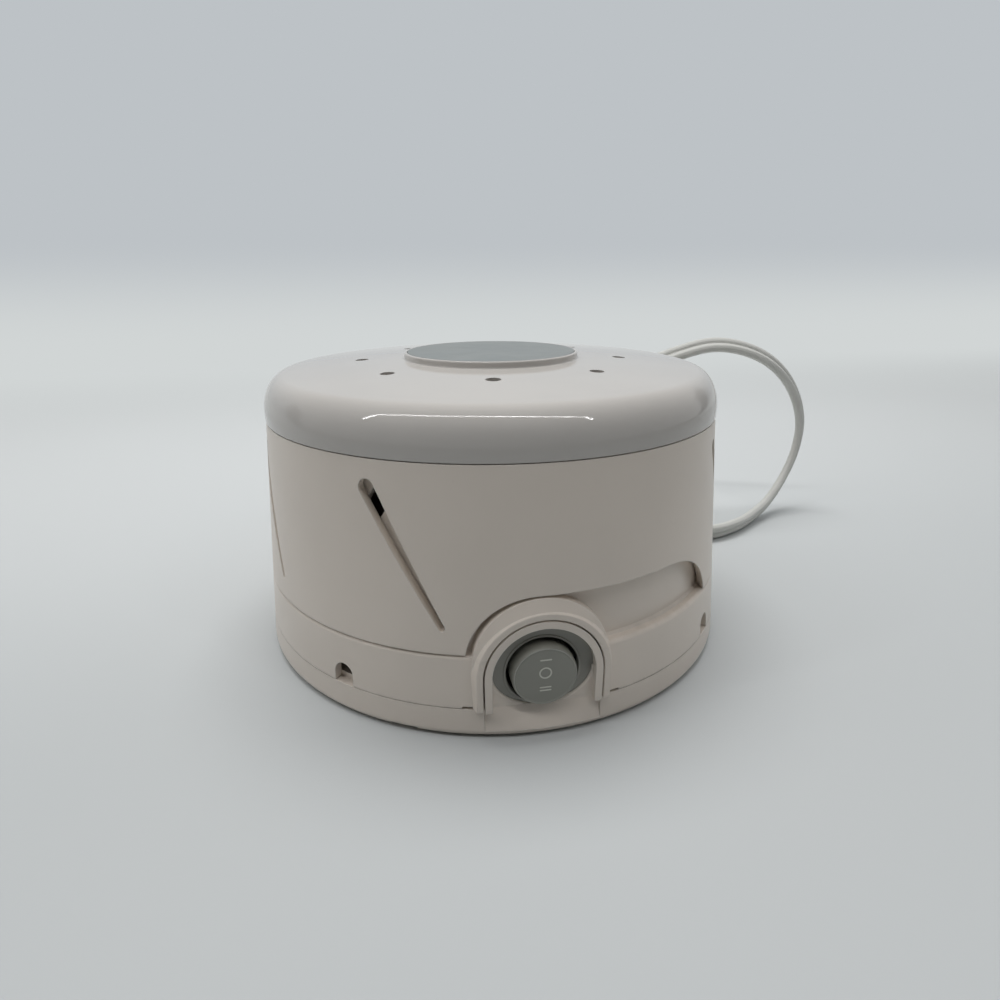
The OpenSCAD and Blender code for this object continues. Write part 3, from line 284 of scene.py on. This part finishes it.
def dress(piece, body, slot, *replaced):
    """The piece rides on a body and stands for CAD nodes, which it hides; the slot is not used."""
    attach(piece, body)
    if replaced:
        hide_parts(*replaced)
    return piece


print("ready to turn profiles")

# %% [markdown]
# ## The cap
# The cap is the one glossy part, and its rounded shoulder carries a long streak of light, so
# it has to be smoother than a construction model needs. Its outline runs up the side, over
# a quarter of an ellipse and along a shallow dome to the raised ring that holds the badge,
# then back underneath and round the stem that it turns on. Eight sound holes are cut last.

# %% Cap
SIDE_R0, SIDE_DRAFT = 73.6, 6.5
CAP_Z0, CAP_SIDE, CORNER_W, CORNER_H, DOME_RISE = 67.9, 11.5, 6.8, 10.0, 2.6
CAP_R = SIDE_R0 - CAP_Z0 * math.tan(math.radians(SIDE_DRAFT)) + 0.14
BOSS_R, BOSS_H, BADGE_R, BADGE_T, WALL = 25.7, 1.8, 24.7, 1.2, 2.2
HOLE_COUNT, HOLE_R, HOLE_CIRCLE_R, HOLE_AZ = 8, 1.95, 38.5, -8.8
shoulder_r, shoulder_z = CAP_R - CORNER_W, CAP_Z0 + CAP_SIDE
dome_radius = (shoulder_r**2 + DOME_RISE**2) / (2 * DOME_RISE)


def dome_height(r):
    """Height of the cap's outer dome: a shallow parabola, highest on the axis."""
    return shoulder_z + DOME_RISE - r**2 / (2 * dome_radius)


def dome_line(r0, r1, drop=0.0, count=14):
    """Points of the dome from one radius to another, that much below its outer face."""
    r = np.linspace(r0, r1, count)
    return np.column_stack([r, dome_height(r) - drop])


cap_top = dome_height(BOSS_R) + BOSS_H
STEM_R, STEM_Z0, STEM_HOLE_R = 6.0, dome_height(10.0) - WALL - 0.5 - 2.4 - 0.25, 1.55
corner_z = shoulder_z - CORNER_H
cap_outline = profile(
    (0, cap_top - BADGE_T - 0.05), (BADGE_R + 0.1, cap_top - BADGE_T - 0.05), (BADGE_R + 0.1, cap_top - 0.15),
    ellipse(BADGE_R + 0.25, cap_top - 0.15, 0.15, 0.15, 180, 90, 4),
    ellipse(BOSS_R - 0.5, cap_top - 0.5, 0.5, 0.5, 90, 0, 8),
    ellipse(BOSS_R + 0.55, dome_height(BOSS_R + 0.55) + 0.5, 0.5, 0.5, 180, 265, 7),
    dome_line(BOSS_R + 0.9, shoulder_r - 2.5),
    ellipse(shoulder_r, corner_z, CORNER_W, CORNER_H, 86, 1, 34),
    (CAP_R, CAP_Z0 + 0.25), ellipse(CAP_R - 0.2, CAP_Z0 + 0.2, 0.2, 0.2, 0, -90, 4), (CAP_R - WALL, CAP_Z0),
    ellipse(shoulder_r, corner_z, CORNER_W - WALL, CORNER_H - WALL, 0, 80, 12),
    dome_line(shoulder_r - 2, STEM_R + 0.8, WALL, 8),
    (STEM_R, dome_height(STEM_R) - WALL - 1), (STEM_R, STEM_Z0), (STEM_HOLE_R, STEM_Z0),
    (STEM_HOLE_R, STEM_Z0 + 5), (0, STEM_Z0 + 5.6))
cap_piece = add_mesh("cap_shell", *turned_shape(cap_outline, 240))
hole_angles = np.radians(HOLE_AZ - 90 + np.arange(HOLE_COUNT) * 360 / HOLE_COUNT)
hole_line = profile((0, 70), (HOLE_R, 70), (HOLE_R, 90), (0, 90))
holes = [turned_shape(hole_line, 48, centre=(HOLE_CIRCLE_R * math.cos(a), HOLE_CIRCLE_R * math.sin(a), 0))
         for a in hole_angles]
cap_piece = cut_from(cap_piece, add_mesh("holes", *stacked(*holes)))
cap_piece.data.shade_smooth()
cap_piece.data.set_sharp_from_angle(angle=math.radians(28))
PIN_R, PIN_FROM_AXIS = 1.8, 20
pin_low, pin_high = cap_top - 6.4, cap_top - 3
pin_line = profile((0, pin_low), (PIN_R - 0.3, pin_low), (PIN_R, pin_low + 0.3), (PIN_R, pin_high), (0, pin_high))
stop_pin = add_mesh("stop_pin", *turned_shape(pin_line, 32, centre=(0, PIN_FROM_AXIS, 0)))
dress(cap_piece, "cap", "cap", "cap")
dress(stop_pin, "cap", "cap")
print("cap:", len(cap_piece.data.polygons), "faces, top at", round(cap_top, 2), "mm")

# %% [markdown]
# ## The switch
# The round rocker is a separate moulding in a round well. Light, with a painted highlight,
# runs round the thin raised rim of its face, and the face sinks a little towards its middle.
# Its three positions carry the usual signs for one, off and two, printed a few hundredths
# of a millimetre thick. A narrow round flange on the grey plate guards the gap.

# %% Rocker, its signs and the flange
PANEL_Z, PANEL_STANDS_OUT = 17.1, 0.45
PANEL_LEAN = math.radians(2)            # the panel leans back from upright
PANEL_AT = (0, -(SIDE_R0 - PANEL_Z * math.tan(math.radians(SIDE_DRAFT)) + PANEL_STANDS_OUT), PANEL_Z)
rise, run = math.cos(PANEL_LEAN), math.sin(PANEL_LEAN)
PANEL_X, PANEL_UP, PANEL_OUT = np.array([(1, 0, 0), (0, run, rise), (0, -rise, run)])
ON_PANEL = {"centre": PANEL_AT, "x_axis": PANEL_X, "y_axis": PANEL_UP}
rocker_line = profile(
    (0, -9), (5.6, -9), (7.9, -6.2), (8.1, -5.6), ellipse(7.55, -1.2, 0.55, 1.68, 0, 76, 12),
    (7.66, 0.5), (7.5, 0.5), (7.38, 0.42), ellipse(0, 0.36, 7.26, 0.05, 0, 80, 6), (0, 0.41))
pin_at = tuple(np.array(PANEL_AT) - 8 * PANEL_OUT)
pivot = turned_shape(profile((0, -10.4), (1.5, -10.4), (1.5, 10.4), (0, 10.4)), 32,
                     centre=pin_at, x_axis=PANEL_UP, y_axis=PANEL_OUT)
rocker_piece = add_mesh("rocker_body", *stacked(turned_shape(rocker_line, 128, **ON_PANEL), pivot), smooth_degrees=40)
dress(rocker_piece, "rocker", "grey_plastic", "rocker")


def flat_outline(outline, low, high):
    """A thin plate on the panel: a closed (n, 2) outline in panel millimetres between two heights."""
    sheet = np.array(PANEL_AT) + outline[:, :1] * PANEL_X + outline[:, 1:] * PANEL_UP
    rows = np.stack([sheet + low * PANEL_OUT, sheet + high * PANEL_OUT])
    return rows.reshape(-1, 3) * MM, grid_faces(2, len(outline), True, True, True)


def bar(u, v, long, wide):
    """A stadium: two half circles joined by straight lines, its long side level."""
    a = np.radians(np.concatenate([np.linspace(-90, 90, 8), np.linspace(90, 270, 8)]))
    end = np.repeat([1, -1], 8) * (long - wide) / 2
    return np.column_stack([u + end + wide / 2 * np.cos(a), v + wide / 2 * np.sin(a)])


def loop_shape(line, count=96, **axes):
    """Points and faces of a ring whose closed outline doesn't touch the axis."""
    points = turned(line, count, **axes)
    return points.reshape(-1, 3), grid_faces(len(line), count, closed_rows=True)


SIGN_LOW, SIGN_HIGH, STROKE = 0.3, 0.47, 0.34
zero = loop_shape(profile((1.22, SIGN_LOW), (1.57, SIGN_LOW), (1.57, SIGN_HIGH), (1.22, SIGN_HIGH)), 48,
                  centre=tuple(np.array(PANEL_AT) + 1.09 * PANEL_UP), x_axis=PANEL_X, y_axis=PANEL_UP)
bars = [flat_outline(bar(0.05, v, 2.9, STROKE), SIGN_LOW, SIGN_HIGH) for v in (4.68, -2.93, -3.78)]
signs = add_mesh("rocker_signs", *stacked(zero, *bars))
dress(signs, "rocker", "nylon")

flange_line = profile((9.08, -2.8), (9.7, -2.8), ellipse(9.5, -2.68, 0.2, 0.16, 0, 90, 5),
                      ellipse(9.26, -2.68, 0.18, 0.16, 90, 180, 5))
flange = add_mesh("bezel_flange", *loop_shape(flange_line, 128, **ON_PANEL))
dress(flange, "base", "grey_plastic")
print("switch pieces:", rocker_piece.name, signs.name, flange.name)

# %% [markdown]
# ## Strain relief, plug and tie
# The cord leaves through a soft tapered sleeve whose rings let it bend but not kink. The
# flat moulded plug swells from the cord to a grip with finger grooves. The wound cord is
# held by a paper tie with a wire in it, closed by a few twists.

# %% Strain relief
RING_COUNT, RING_DEEP = 7, 0.75
ring_y = np.linspace(5.5, 24.5, 58)
ring_phase = (ring_y - 5.5) / 19 * RING_COUNT * 2 * np.pi - 1.57
ring_r = 5.2 - 0.9 * (ring_y - 3.8) / 22.2 - RING_DEEP * smoothstep(2.2 * np.sin(ring_phase) + 0.5)
relief_line = profile(
    (0, -8.8), (6.4, -8.8), (6.6, -8.6), (6.6, -3.6), (6.4, -3.42), (5.1, -3.42), (5.1, 0.84), (6.2, 0.84), (6.4, 1.04),
    (6.4, 2.3), (6.2, 2.6), (5.2, 3.8), np.column_stack([ring_r, ring_y]), (4.3, 25.6), (4.0, 25.95), (0, 25.98))
relief = add_mesh("relief_sleeve",
                  *turned_shape(relief_line, 64, centre=GLAND_AT, x_axis=(0, 0, 1), y_axis=(1, 0, 0)))
dress(relief, "base", "vinyl", "strain_relief")
print("strain relief:", len(relief.data.polygons), "faces")

# %% Plug
PLUG_AT, PLUG_LONG, PLUG_WIDE, PLUG_HIGH = (-60, 126.2, 7.5), 30.0, 24.0, 15.0


def power(x, exponent):
    """|x| to a power, with the sign of x kept."""
    return np.sign(x) * np.abs(x) ** exponent


def plug_shape(rows=60, count=72):
    """Superellipses, |x/a|^n + |z/b|^n = 1, that swell from the cord and grow squarer, with finger grooves."""
    t = np.linspace(0, 1, rows)[:, None]
    swell = smoothstep(t / 0.34)
    edge = np.sqrt(np.clip(1 - (np.clip(t - 0.96, 0, 1) / 0.05) ** 2, 0, 1))
    half_wide = (4.6 + (PLUG_WIDE / 2 - 4.6) * swell) * (0.93 + 0.07 * edge)
    half_high = (4.6 + (PLUG_HIGH / 2 - 4.6) * swell) * (0.9 + 0.1 * edge)
    grip = smoothstep((t - 0.4) / 0.05) * smoothstep((0.82 - t) / 0.05)
    groove = grip * smoothstep(0.5 + 1.2 * np.sin((t - 0.4) / 0.42 * 5 * 2 * np.pi))
    a = np.arange(count)[None, :] / count * 2 * np.pi
    exponent = 2 / (2 + 3.5 * swell)
    x = half_wide * power(np.cos(a), exponent)
    z = half_high * power(np.sin(a), exponent)
    x = x * (1 - 0.06 * groove * smoothstep((np.abs(np.cos(a)) - 0.5) / 0.3))
    points = np.stack([PLUG_AT[0] + x, PLUG_AT[1] + t * PLUG_LONG + 0 * x, PLUG_AT[2] - z], axis=-1)
    return points.reshape(-1, 3) * MM, grid_faces(rows, count, True, True, True)


plug = add_mesh("plug_grip", *plug_shape(), smooth_degrees=50)
dress(plug, "base", "vinyl", "plug_body")
print("plug:", len(plug.data.polygons), "faces")

# %% Tie
TIE_AT, TIE_HALF_Y, TIE_HALF_Z, TIE_WIDE = (44, 193, 7.8), 8.85, 7.4, 4.0


def tie_band(count=96):
    """A flat band round a squarish loop in the upright plane across the cord: four corners of section a step."""
    a = np.arange(count) / count * 2 * np.pi
    rows = []
    for grow, side in ((0.25, -1), (0.25, 1), (-0.25, 1), (-0.25, -1)):
        y = TIE_AT[1] + (TIE_HALF_Y + grow) * power(np.cos(a), 0.4)
        z = TIE_AT[2] + (TIE_HALF_Z + grow) * power(np.sin(a), 0.4)
        rows.append(np.column_stack([np.full(count, TIE_AT[0] + side * TIE_WIDE / 2), y, z]))
    return np.stack(rows).reshape(-1, 3) * MM, grid_faces(4, count, closed_rows=True)


def twisted_tail(phase, length=13.0, turns=4, radius=0.75, rows=60, count=10):
    """One of two strands wound round each other above the band: a small circle carried along a helix."""
    t = np.linspace(0, 1, rows)[:, None]
    b = np.arange(count)[None, :] / count * 2 * np.pi
    spin = t * turns * 2 * np.pi + phase
    x = TIE_AT[0] + 1.5 + t * length
    y = TIE_AT[1] + radius * np.cos(spin) + 0.8 * np.cos(b)
    z = TIE_AT[2] + TIE_HALF_Z + 1.35 + radius * np.sin(spin) + 0.6 * np.sin(b)
    points = np.stack([x + 0 * y, y, z], axis=-1)
    return points.reshape(-1, 3) * MM, grid_faces(rows, count, True, True, True)


tie = add_mesh("cord_tie_strip", *stacked(tie_band(), twisted_tail(0), twisted_tail(np.pi)))
dress(tie, "base", "nylon", "cord_tie")

dress(power_cord, "base", "vinyl", "cord_lead", "cord_run", "cord_coil")
print("tie:", len(tie.data.polygons), "faces")

# %% [markdown]
# ## Finishes as formulas
# A finish is a small sum: noise, distances and steps added and multiplied. Written as node
# links that is hard to read, so a thin class wraps a socket and lets Python's own signs
# build the Math nodes. Any other node comes from a single method that takes its kind, its
# settings and its inputs.

# %% Sockets in expressions
class Value:
    """A node's output that can stand in a formula; every operator adds one Math node to its tree."""

    def __init__(self, graph, socket):
        self.graph, self.socket = graph, socket

    def math(self, operation, *values):
        return self.graph.node("Math", {"operation": operation}, dict(enumerate(values)))

    def __add__(self, other):
        return self.math("ADD", self, other)

    def __sub__(self, other):
        return self.math("SUBTRACT", self, other)

    def __rsub__(self, other):
        return self.math("SUBTRACT", other, self)

    def __mul__(self, other):
        return self.math("MULTIPLY", self, other)

    def __truediv__(self, other):
        return self.math("DIVIDE", self, other)

    def __abs__(self):
        return self.math("ABSOLUTE", self)

    def __mod__(self, other):
        return self.math("FLOORED_MODULO", self, other)

    def step(self, low, high):
        """0 below low, 1 above high, smooth between; a low above high falls instead of rising."""
        start, end = (0, 1) if low < high else (1, 0)
        return self.graph.node("MapRange", {"interpolation_type": "SMOOTHSTEP"},
                               {"Value": self, "From Min": min(low, high), "From Max": max(low, high),
                                "To Min": start, "To Max": end})

    __radd__, __rmul__ = __add__, __mul__


class Graph:
    """A node tree that grows by whole nodes."""

    def __init__(self, tree):
        self.tree = tree

    def feed(self, socket, value):
        """Links a Value to a socket, or sets the socket to a plain number or colour."""
        if isinstance(value, Value):
            self.tree.links.new(value.socket, socket)
        else:
            socket.default_value = value

    def node(self, kind, settings=None, sockets=None, output=0):
        """Adds a node: its settings first, then the values or links of its sockets."""
        made = self.tree.nodes.new("ShaderNode" + kind)
        for name, value in (settings or {}).items():
            setattr(made, name, value)
        for name, value in (sockets or {}).items():
            self.feed(made.inputs[name], value)
        return Value(self, made.outputs[output])

    def place(self):
        """The point on the piece, in metres, as Object coordinates."""
        return self.node("TexCoord", output="Object")

    def part(self, axis):
        """One coordinate of that point."""
        return self.node("SeparateXYZ", None, {"Vector": self.place()}, output=axis)

    def noise(self, size, detail=2.0, stretch=(1, 1, 1)):
        """Soft noise from 0 to 1 whose blotches are about that many millimetres wide."""
        scaled = self.node("Mapping", None, {"Vector": self.place(), "Scale": stretch})
        return self.node("TexNoise", None, {"Vector": scaled, "Scale": 1 / (size * MM), "Detail": detail})

    def blend(self, factor, first, second):
        """A colour between two colours."""
        return self.node("Mix", {"data_type": "RGBA"}, {"Factor": factor, 6: first, 7: second}, output=2)


def colour(red, green, blue):
    """A display colour, 0 to 255 a channel, as the linear colour that a shader takes."""
    share = np.array([red, green, blue]) / 255
    linear = np.where(share <= 0.04045, share / 12.92, ((share + 0.055) / 1.055) ** 2.4)
    return (*linear.tolist(), 1.0)


print("finishes are ready to be written as sums")

# %% [markdown]
# ## Moulded plastic
# The shell is thick, slightly rough moulded plastic: a pale warm white with very soft
# clouds of tone, a grain too fine to see as dots that spreads the highlights, and a little
# dust in the seams, where no cloth reaches. The cap comes from a polished mould, so its
# grain is shallower and its gloss higher. Its edges are rounded by a few tenths of a
# millimetre, and along them the colour is painted paler as a painted highlight. The same
# few sums serve the grey switch parts, the soft vinyl of the cord and the nylon parts,
# with other numbers.

# %% A finish and its surface
EDGE_HIGHLIGHT_SHARE, EDGE_HIGHLIGHT_TINT = 0.4, (1, 1, 0.97, 1)    # how far a painted edge highlight goes towards which colour


class Finish(Graph):
    """A material with one Principled shader; plain values go on the shader's own sockets.

    With an edge radius in millimetres the normals bend round the edges, and where the bent normal
    departs from the face's own (their dot product falls from 0.99 to 0.85) the colour is painted
    paler, as a painted highlight."""

    def __init__(self, name, edge=0.0, **constants):
        self.edge = edge
        self.material = bpy.data.materials.new(name)
        self.material.use_nodes = True
        super().__init__(self.material.node_tree)
        self.shader = self.tree.nodes["Principled BSDF"]
        for socket, value in constants.items():
            self.shader.inputs[socket.replace("_", " ")].default_value = value

    def surface(self, base, roughness, height=None, depth=0.0):
        """Feeds the shader: a colour, a roughness and a height whose full rise is depth millimetres."""
        rounded = {}
        if self.edge:
            bevel = self.node("Bevel", {"samples": 4}, {"Radius": self.edge * MM})
            face = self.node("NewGeometry", output="Normal")
            turn = self.node("VectorMath", {"operation": "DOT_PRODUCT"}, {0: bevel, 1: face}, output="Value")
            # Painted highlight: the colour goes paler along the rounded edges.
            base = self.blend(turn.step(0.99, 0.85) * EDGE_HIGHLIGHT_SHARE, base, EDGE_HIGHLIGHT_TINT)
            rounded["Normal"] = bevel
        self.feed(self.shader.inputs["Base Color"], base)
        self.feed(self.shader.inputs["Roughness"], roughness)
        if height is not None:
            bump = self.node("Bump", None, {"Height": height, "Distance": depth * MM, **rounded})
            self.feed(self.shader.inputs["Normal"], bump)
        return self.material


def tone(tint, factor):
    """The same colour, lighter or darker by a factor."""
    return (*(np.clip(np.array(tint[:3]) * factor, 0, 1)).tolist(), 1.0)


def plastic(name, tint, roughness, grain=0.5, depth=0.006, clouds=0.025, smears=0.14, dust_at=(), dust=0.12,
            **constants):
    """Soft clouds of tone and gloss, a fine grain, and dust within half a millimetre of the given heights."""
    f = Finish(name, **constants)
    cloud = f.noise(38, 3)
    base = f.blend(cloud.step(0.3, 0.7), tone(tint, 1 - clouds), tone(tint, 1 + clouds))
    speck = f.noise(1.1, 2).step(0.72, 0.8)
    base = f.blend(speck * 0.06, base, tone(tint, 0.6))
    for height in dust_at:
        near = abs(f.part("Z") - height * MM).step(0.0009, 0.0002)
        base = f.blend(near * dust * f.noise(3, 3).step(0.3, 0.7), base, colour(120, 112, 100))
    smear = f.noise(7, 4, (1, 1, 0.35))
    return f.surface(base, (smear - 0.5) * smears + roughness, f.noise(grain, 2), depth)


shell_white, cap_white = colour(224, 214, 203), colour(191, 187, 182)
finishes = {
    "bottom_cover": plastic("cover_plastic", shell_white, 0.32, smears=0.08, edge=0.3, dust_at=(8.4, 0.4)),
    "housing": plastic("housing_plastic", shell_white, 0.32, smears=0.08, edge=0.3, dust_at=(8.6, 22.6)),
    "collar": plastic("collar_plastic", shell_white, 0.36, smears=0.08, edge=0.4, dust_at=(22.9,)),
    "cap": plastic("cap_plastic", cap_white, 0.06, grain=0.9, depth=0.0006, smears=0.04, edge=0.25),
    "grey": plastic("switch_grey", colour(142, 141, 134), 0.42, grain=0.4, clouds=0.02),
    "rocker": plastic("rocker_grey", colour(141, 141, 133), 0.38, grain=0.4, clouds=0.02, edge=0.3),
    "black_plastic": plastic("switch_black", colour(34, 34, 36), 0.45, clouds=0.08),
    "signs": plastic("sign_print", colour(205, 205, 196), 0.5, depth=0.002),
    "vinyl": plastic("soft_vinyl", colour(204, 204, 199), 0.36, grain=1.2, depth=0.01, Subsurface_Weight=0.05,
                     Subsurface_Radius=(0.002, 0.002, 0.0018)),
    "nylon": plastic("natural_nylon", colour(226, 221, 203), 0.4, Subsurface_Weight=0.08,
                     Subsurface_Radius=(0.002, 0.0018, 0.0012)),
}
plastics = len(finishes)
print("plastics:", sorted(finishes))

# %% [markdown]
# ## Badge, rubber and metals
# The badge is a satin printed disc, left bare. Rubber feet pick up dust. Inside, every
# metal has its own surface: zinc plating with faint brush lines, a stack of thin steel
# sheets seen edge on, porous bronze bearings, stamped brass and enamelled copper wire laid
# turn by turn. The sheets and the wire are stripes of one coordinate, repeated at the real
# pitch.

# %% Badge and rubber
f = Finish("badge_print")
print_grain = f.noise(0.3, 2)
finishes["badge"] = f.surface(f.blend(f.noise(16, 3).step(0.3, 0.7), colour(120, 125, 124), colour(126, 130, 128)),
                              f.noise(5, 3) * 0.1 + 0.3, print_grain, 0.002)

f = Finish("black_rubber")
dusty = f.noise(2.2, 4).step(0.5, 0.75) * 0.35
finishes["rubber"] = f.surface(f.blend(dusty, colour(38, 38, 38), colour(96, 92, 86)), f.noise(3, 3) * 0.2 + 0.65,
                               f.noise(0.35, 3), 0.03)


# %% Metals
def metal(name, tint, roughness, brush=(1, 1, 12), size=0.25, stain=0.1, height=None, depth=0.003):
    """Metal with lines along one direction, where the noise is stretched, and soft stains."""
    m = Finish(name, Metallic=1.0)
    lines = m.noise(size, 3, brush)
    base = m.blend(m.noise(8, 3).step(0.35, 0.7), tone(tint, 1 - stain), tone(tint, 1 + stain / 2))
    return m.surface(base, lines * 0.14 + roughness, lines if height is None else height(m), depth)


def stripes(axis, pitch):
    """A rounded ridge every pitch millimetres along one axis: 4s(1 - s) for the share s of the pitch."""
    def height(m):
        share = (m.part(axis) / (pitch * MM)) % 1
        return share * (1 - share) * 4
    return height


SHEET_THICK, WIRE_THICK = 0.5, 0.3      # mm, pitch of the core's sheets and of the coil's turns
finishes["zinc"] = metal("zinc_plate", colour(196, 197, 194), 0.3)
finishes["core_steel"] = metal("core_sheets", colour(122, 121, 122), 0.42, stain=0.25,
                               height=stripes("Z", SHEET_THICK), depth=0.1)
finishes["bronze"] = metal("porous_bronze", colour(178, 138, 88), 0.45, brush=(1, 1, 1), size=0.4, stain=0.2,
                           depth=0.02)
finishes["brass"] = metal("stamped_brass", colour(214, 190, 122), 0.26, stain=0.08)
finishes["copper"] = metal("wound_copper", colour(172, 88, 52), 0.3, stain=0.15,
                           height=stripes("X", WIRE_THICK), depth=0.12)
finishes["shading"] = metal("bare_copper", colour(196, 120, 84), 0.34, stain=0.2)
finishes["shaft"] = metal("ground_shaft", colour(206, 206, 206), 0.16, brush=(1, 1, 0.1), stain=0.03)
print("metals and the rest:", len(finishes) - plastics)

# %% Every node and piece gets its finish
by_slot = {"shell": "housing", "grey_plastic": "grey"}
special = {"bottom_cover": "bottom_cover", "housing": "housing", "collar": "collar", "shading_rings": "shading",
           "motor_shaft": "shaft", "plug_blades": "brass"}
slots = {row["node"]: row["material_slot"] for row in frame["record"]["subparts"]}
own_pieces = {"cap_shell": "cap", "stop_pin": "cap", "rocker_body": "rocker", "rocker_signs": "signs",
              "bezel_flange": "grey", "relief_sleeve": "vinyl", "plug_grip": "vinyl", "cord_tie_strip": "nylon",
              "power_cord": "vinyl"}


def put_on(piece, finish):
    """Every material slot of the piece gets the finish."""
    if not piece.data.materials:
        piece.data.materials.append(finish)
    for slot in piece.material_slots:
        slot.material = finish


for name, node in nodes.items():
    key = special.get(name, by_slot.get(slots[name], slots[name]))
    put_on(node, finishes[key])
for name, key in own_pieces.items():
    put_on(bpy.data.objects[name], finishes[key])
print("finished:", len(nodes), "nodes and", len(own_pieces), "pieces")

# %% [markdown]
# ## The room
# The machine stands on a pale sweep that curves up behind it; its paper is painted darker at
# the front and paler towards the wall, painted shade and light. The light is soft: it comes
# from the back, from the sides and from a wide lamp above, and almost none of it from the
# front, where whoever looks at the machine stands in the way. So the world's strength
# depends on the direction. Three thin tubes above the front edge draw the bright line on
# the cap's glossy shoulder, the two at the ends turned to let it bend down. What is looked
# at or reflected is plainer than what lights: behind the machine the sweep shows a painted
# glow, paler low down, darker higher up and darker still towards its side edges, and
# beyond its edges the world is one even tone.

# %% Sweep and lamps
def sweep_points(width=3.2, front=-2.2, back=0.75, bend=0.5, top=0.9, count=24):
    """A floor that runs back, a quarter circle and a wall: the same line at the left and right edge."""
    a = np.radians(np.linspace(-90, 0, count))
    curve = np.column_stack([back + bend * np.cos(a), bend + bend * np.sin(a)])
    line = np.vstack([[(front, 0)], curve, [(back + bend, top)]])
    sides = np.broadcast_to(np.array([-1, 1]) * width, (len(line), 2))
    return np.stack([sides, np.repeat(line[:, :1], 2, 1), np.repeat(line[:, 1:], 2, 1)], axis=-1)


sweep = grid_mesh("sweep", sweep_points(), ring=False, smooth_degrees=60)
f = Finish("sweep_paper")
# Painted shade and light: one paper, darker at the front and paler towards the wall.
paper = f.blend(f.part("Y").step(-0.25, 0.3), colour(171, 175, 176), colour(214, 217, 217))
f.surface(f.blend(f.noise(400, 2).step(0.3, 0.7) * 0.3, paper, colour(205, 207, 207)), 0.8)
# Painted glow: paler low down, darker higher up and darker still towards the sweep's side edges.
LOW_GLOW, HIGH_GLOW, FAR_GLOW = colour(209, 213, 213), colour(189, 194, 198), colour(110, 113, 116)
painted_glow_by_height = f.blend(f.part("Z").step(0.0, 0.16), LOW_GLOW, HIGH_GLOW)
glow = f.node("Emission", None, {"Color": f.blend(abs(f.part("X")).step(1.5, 2.2), painted_glow_by_height, FAR_GLOW)})


def in_view(graph):
    """1 for rays from the camera and for those that gloss or glass sends on, 0 for rays that light things."""
    camera_ray = graph.node("LightPath", output="Is Camera Ray")
    glossy_ray = graph.node("LightPath", output="Is Glossy Ray")
    return camera_ray + glossy_ray + graph.node("LightPath", output="Is Transmission Ray")


lit = f.node("MixShader", None, {0: f.part("Y").step(0.1, 0.6) * in_view(f), 1: Value(f, f.shader.outputs[0]),
                                 2: glow})
f.feed(f.tree.nodes["Material Output"].inputs["Surface"], lit)
put_on(sweep, f.material)

bpy.context.scene.view_settings.view_transform = "Standard"
world = bpy.data.worlds.new("room")
bpy.context.scene.world = world
world.use_nodes = True
sky = Graph(world.node_tree)
direction = sky.node("TexCoord", output="Generated")
behind = sky.node("SeparateXYZ", None, {"Vector": direction}, output="Y")
upward = sky.node("SeparateXYZ", None, {"Vector": direction}, output="Z")
SKY_LEVEL, FRONT_SHARE, PLAIN_LEVEL = 0.72, 0.02, 0.55
sideways = abs(sky.node("SeparateXYZ", None, {"Vector": direction}, output="X"))
from_behind = behind.step(-0.3, 0.25) * (1 - FRONT_SHARE) + FRONT_SHARE
open_sky = from_behind * (upward.step(-0.1, 0.7) * 0.5 + 0.5) * (sideways.step(0.2, 0.95) * 0.95 + 0.66)
background = world.node_tree.nodes["Background"]
background.inputs["Color"].default_value = (0.97, 0.985, 1, 1)
sky.feed(background.inputs["Strength"], open_sky * SKY_LEVEL * (1 - in_view(sky)) + in_view(sky) * PLAIN_LEVEL)


def soft_lamp(name, at, size, watts, aim=(0, 0, 0.05), mirrored=True):
    """A flat soft lamp of that width and depth in metres that faces a point; gloss shows it if mirrored."""
    lamp = bpy.data.objects.new(name, bpy.data.lights.new(name, "AREA"))
    lamp.data.shape, lamp.data.energy = "RECTANGLE", watts
    lamp.data.size, lamp.data.size_y = size
    lamp.location, lamp.visible_glossy = at, mirrored
    lamp.rotation_euler = (Vector(aim) - Vector(at)).to_track_quat("-Z", "Y").to_euler()
    bpy.context.scene.collection.objects.link(lamp)


soft_lamp("ceiling", (0, 0.23, 1.0), (0.7, 0.4), 6.3, mirrored=False)
soft_lamp("front_tube", (-0.095, -0.276, 0.75), (1.15, 0.024), 1.9)
soft_lamp("left_tube", (-0.84, -0.152, 0.75), (0.36, 0.024), 0.7, (-0.9, 0.1, 0.05))
soft_lamp("right_tube", (0.54, -0.53, 0.75), (0.24, 0.024), 0.5, (0.72, -0.36, 0.05))
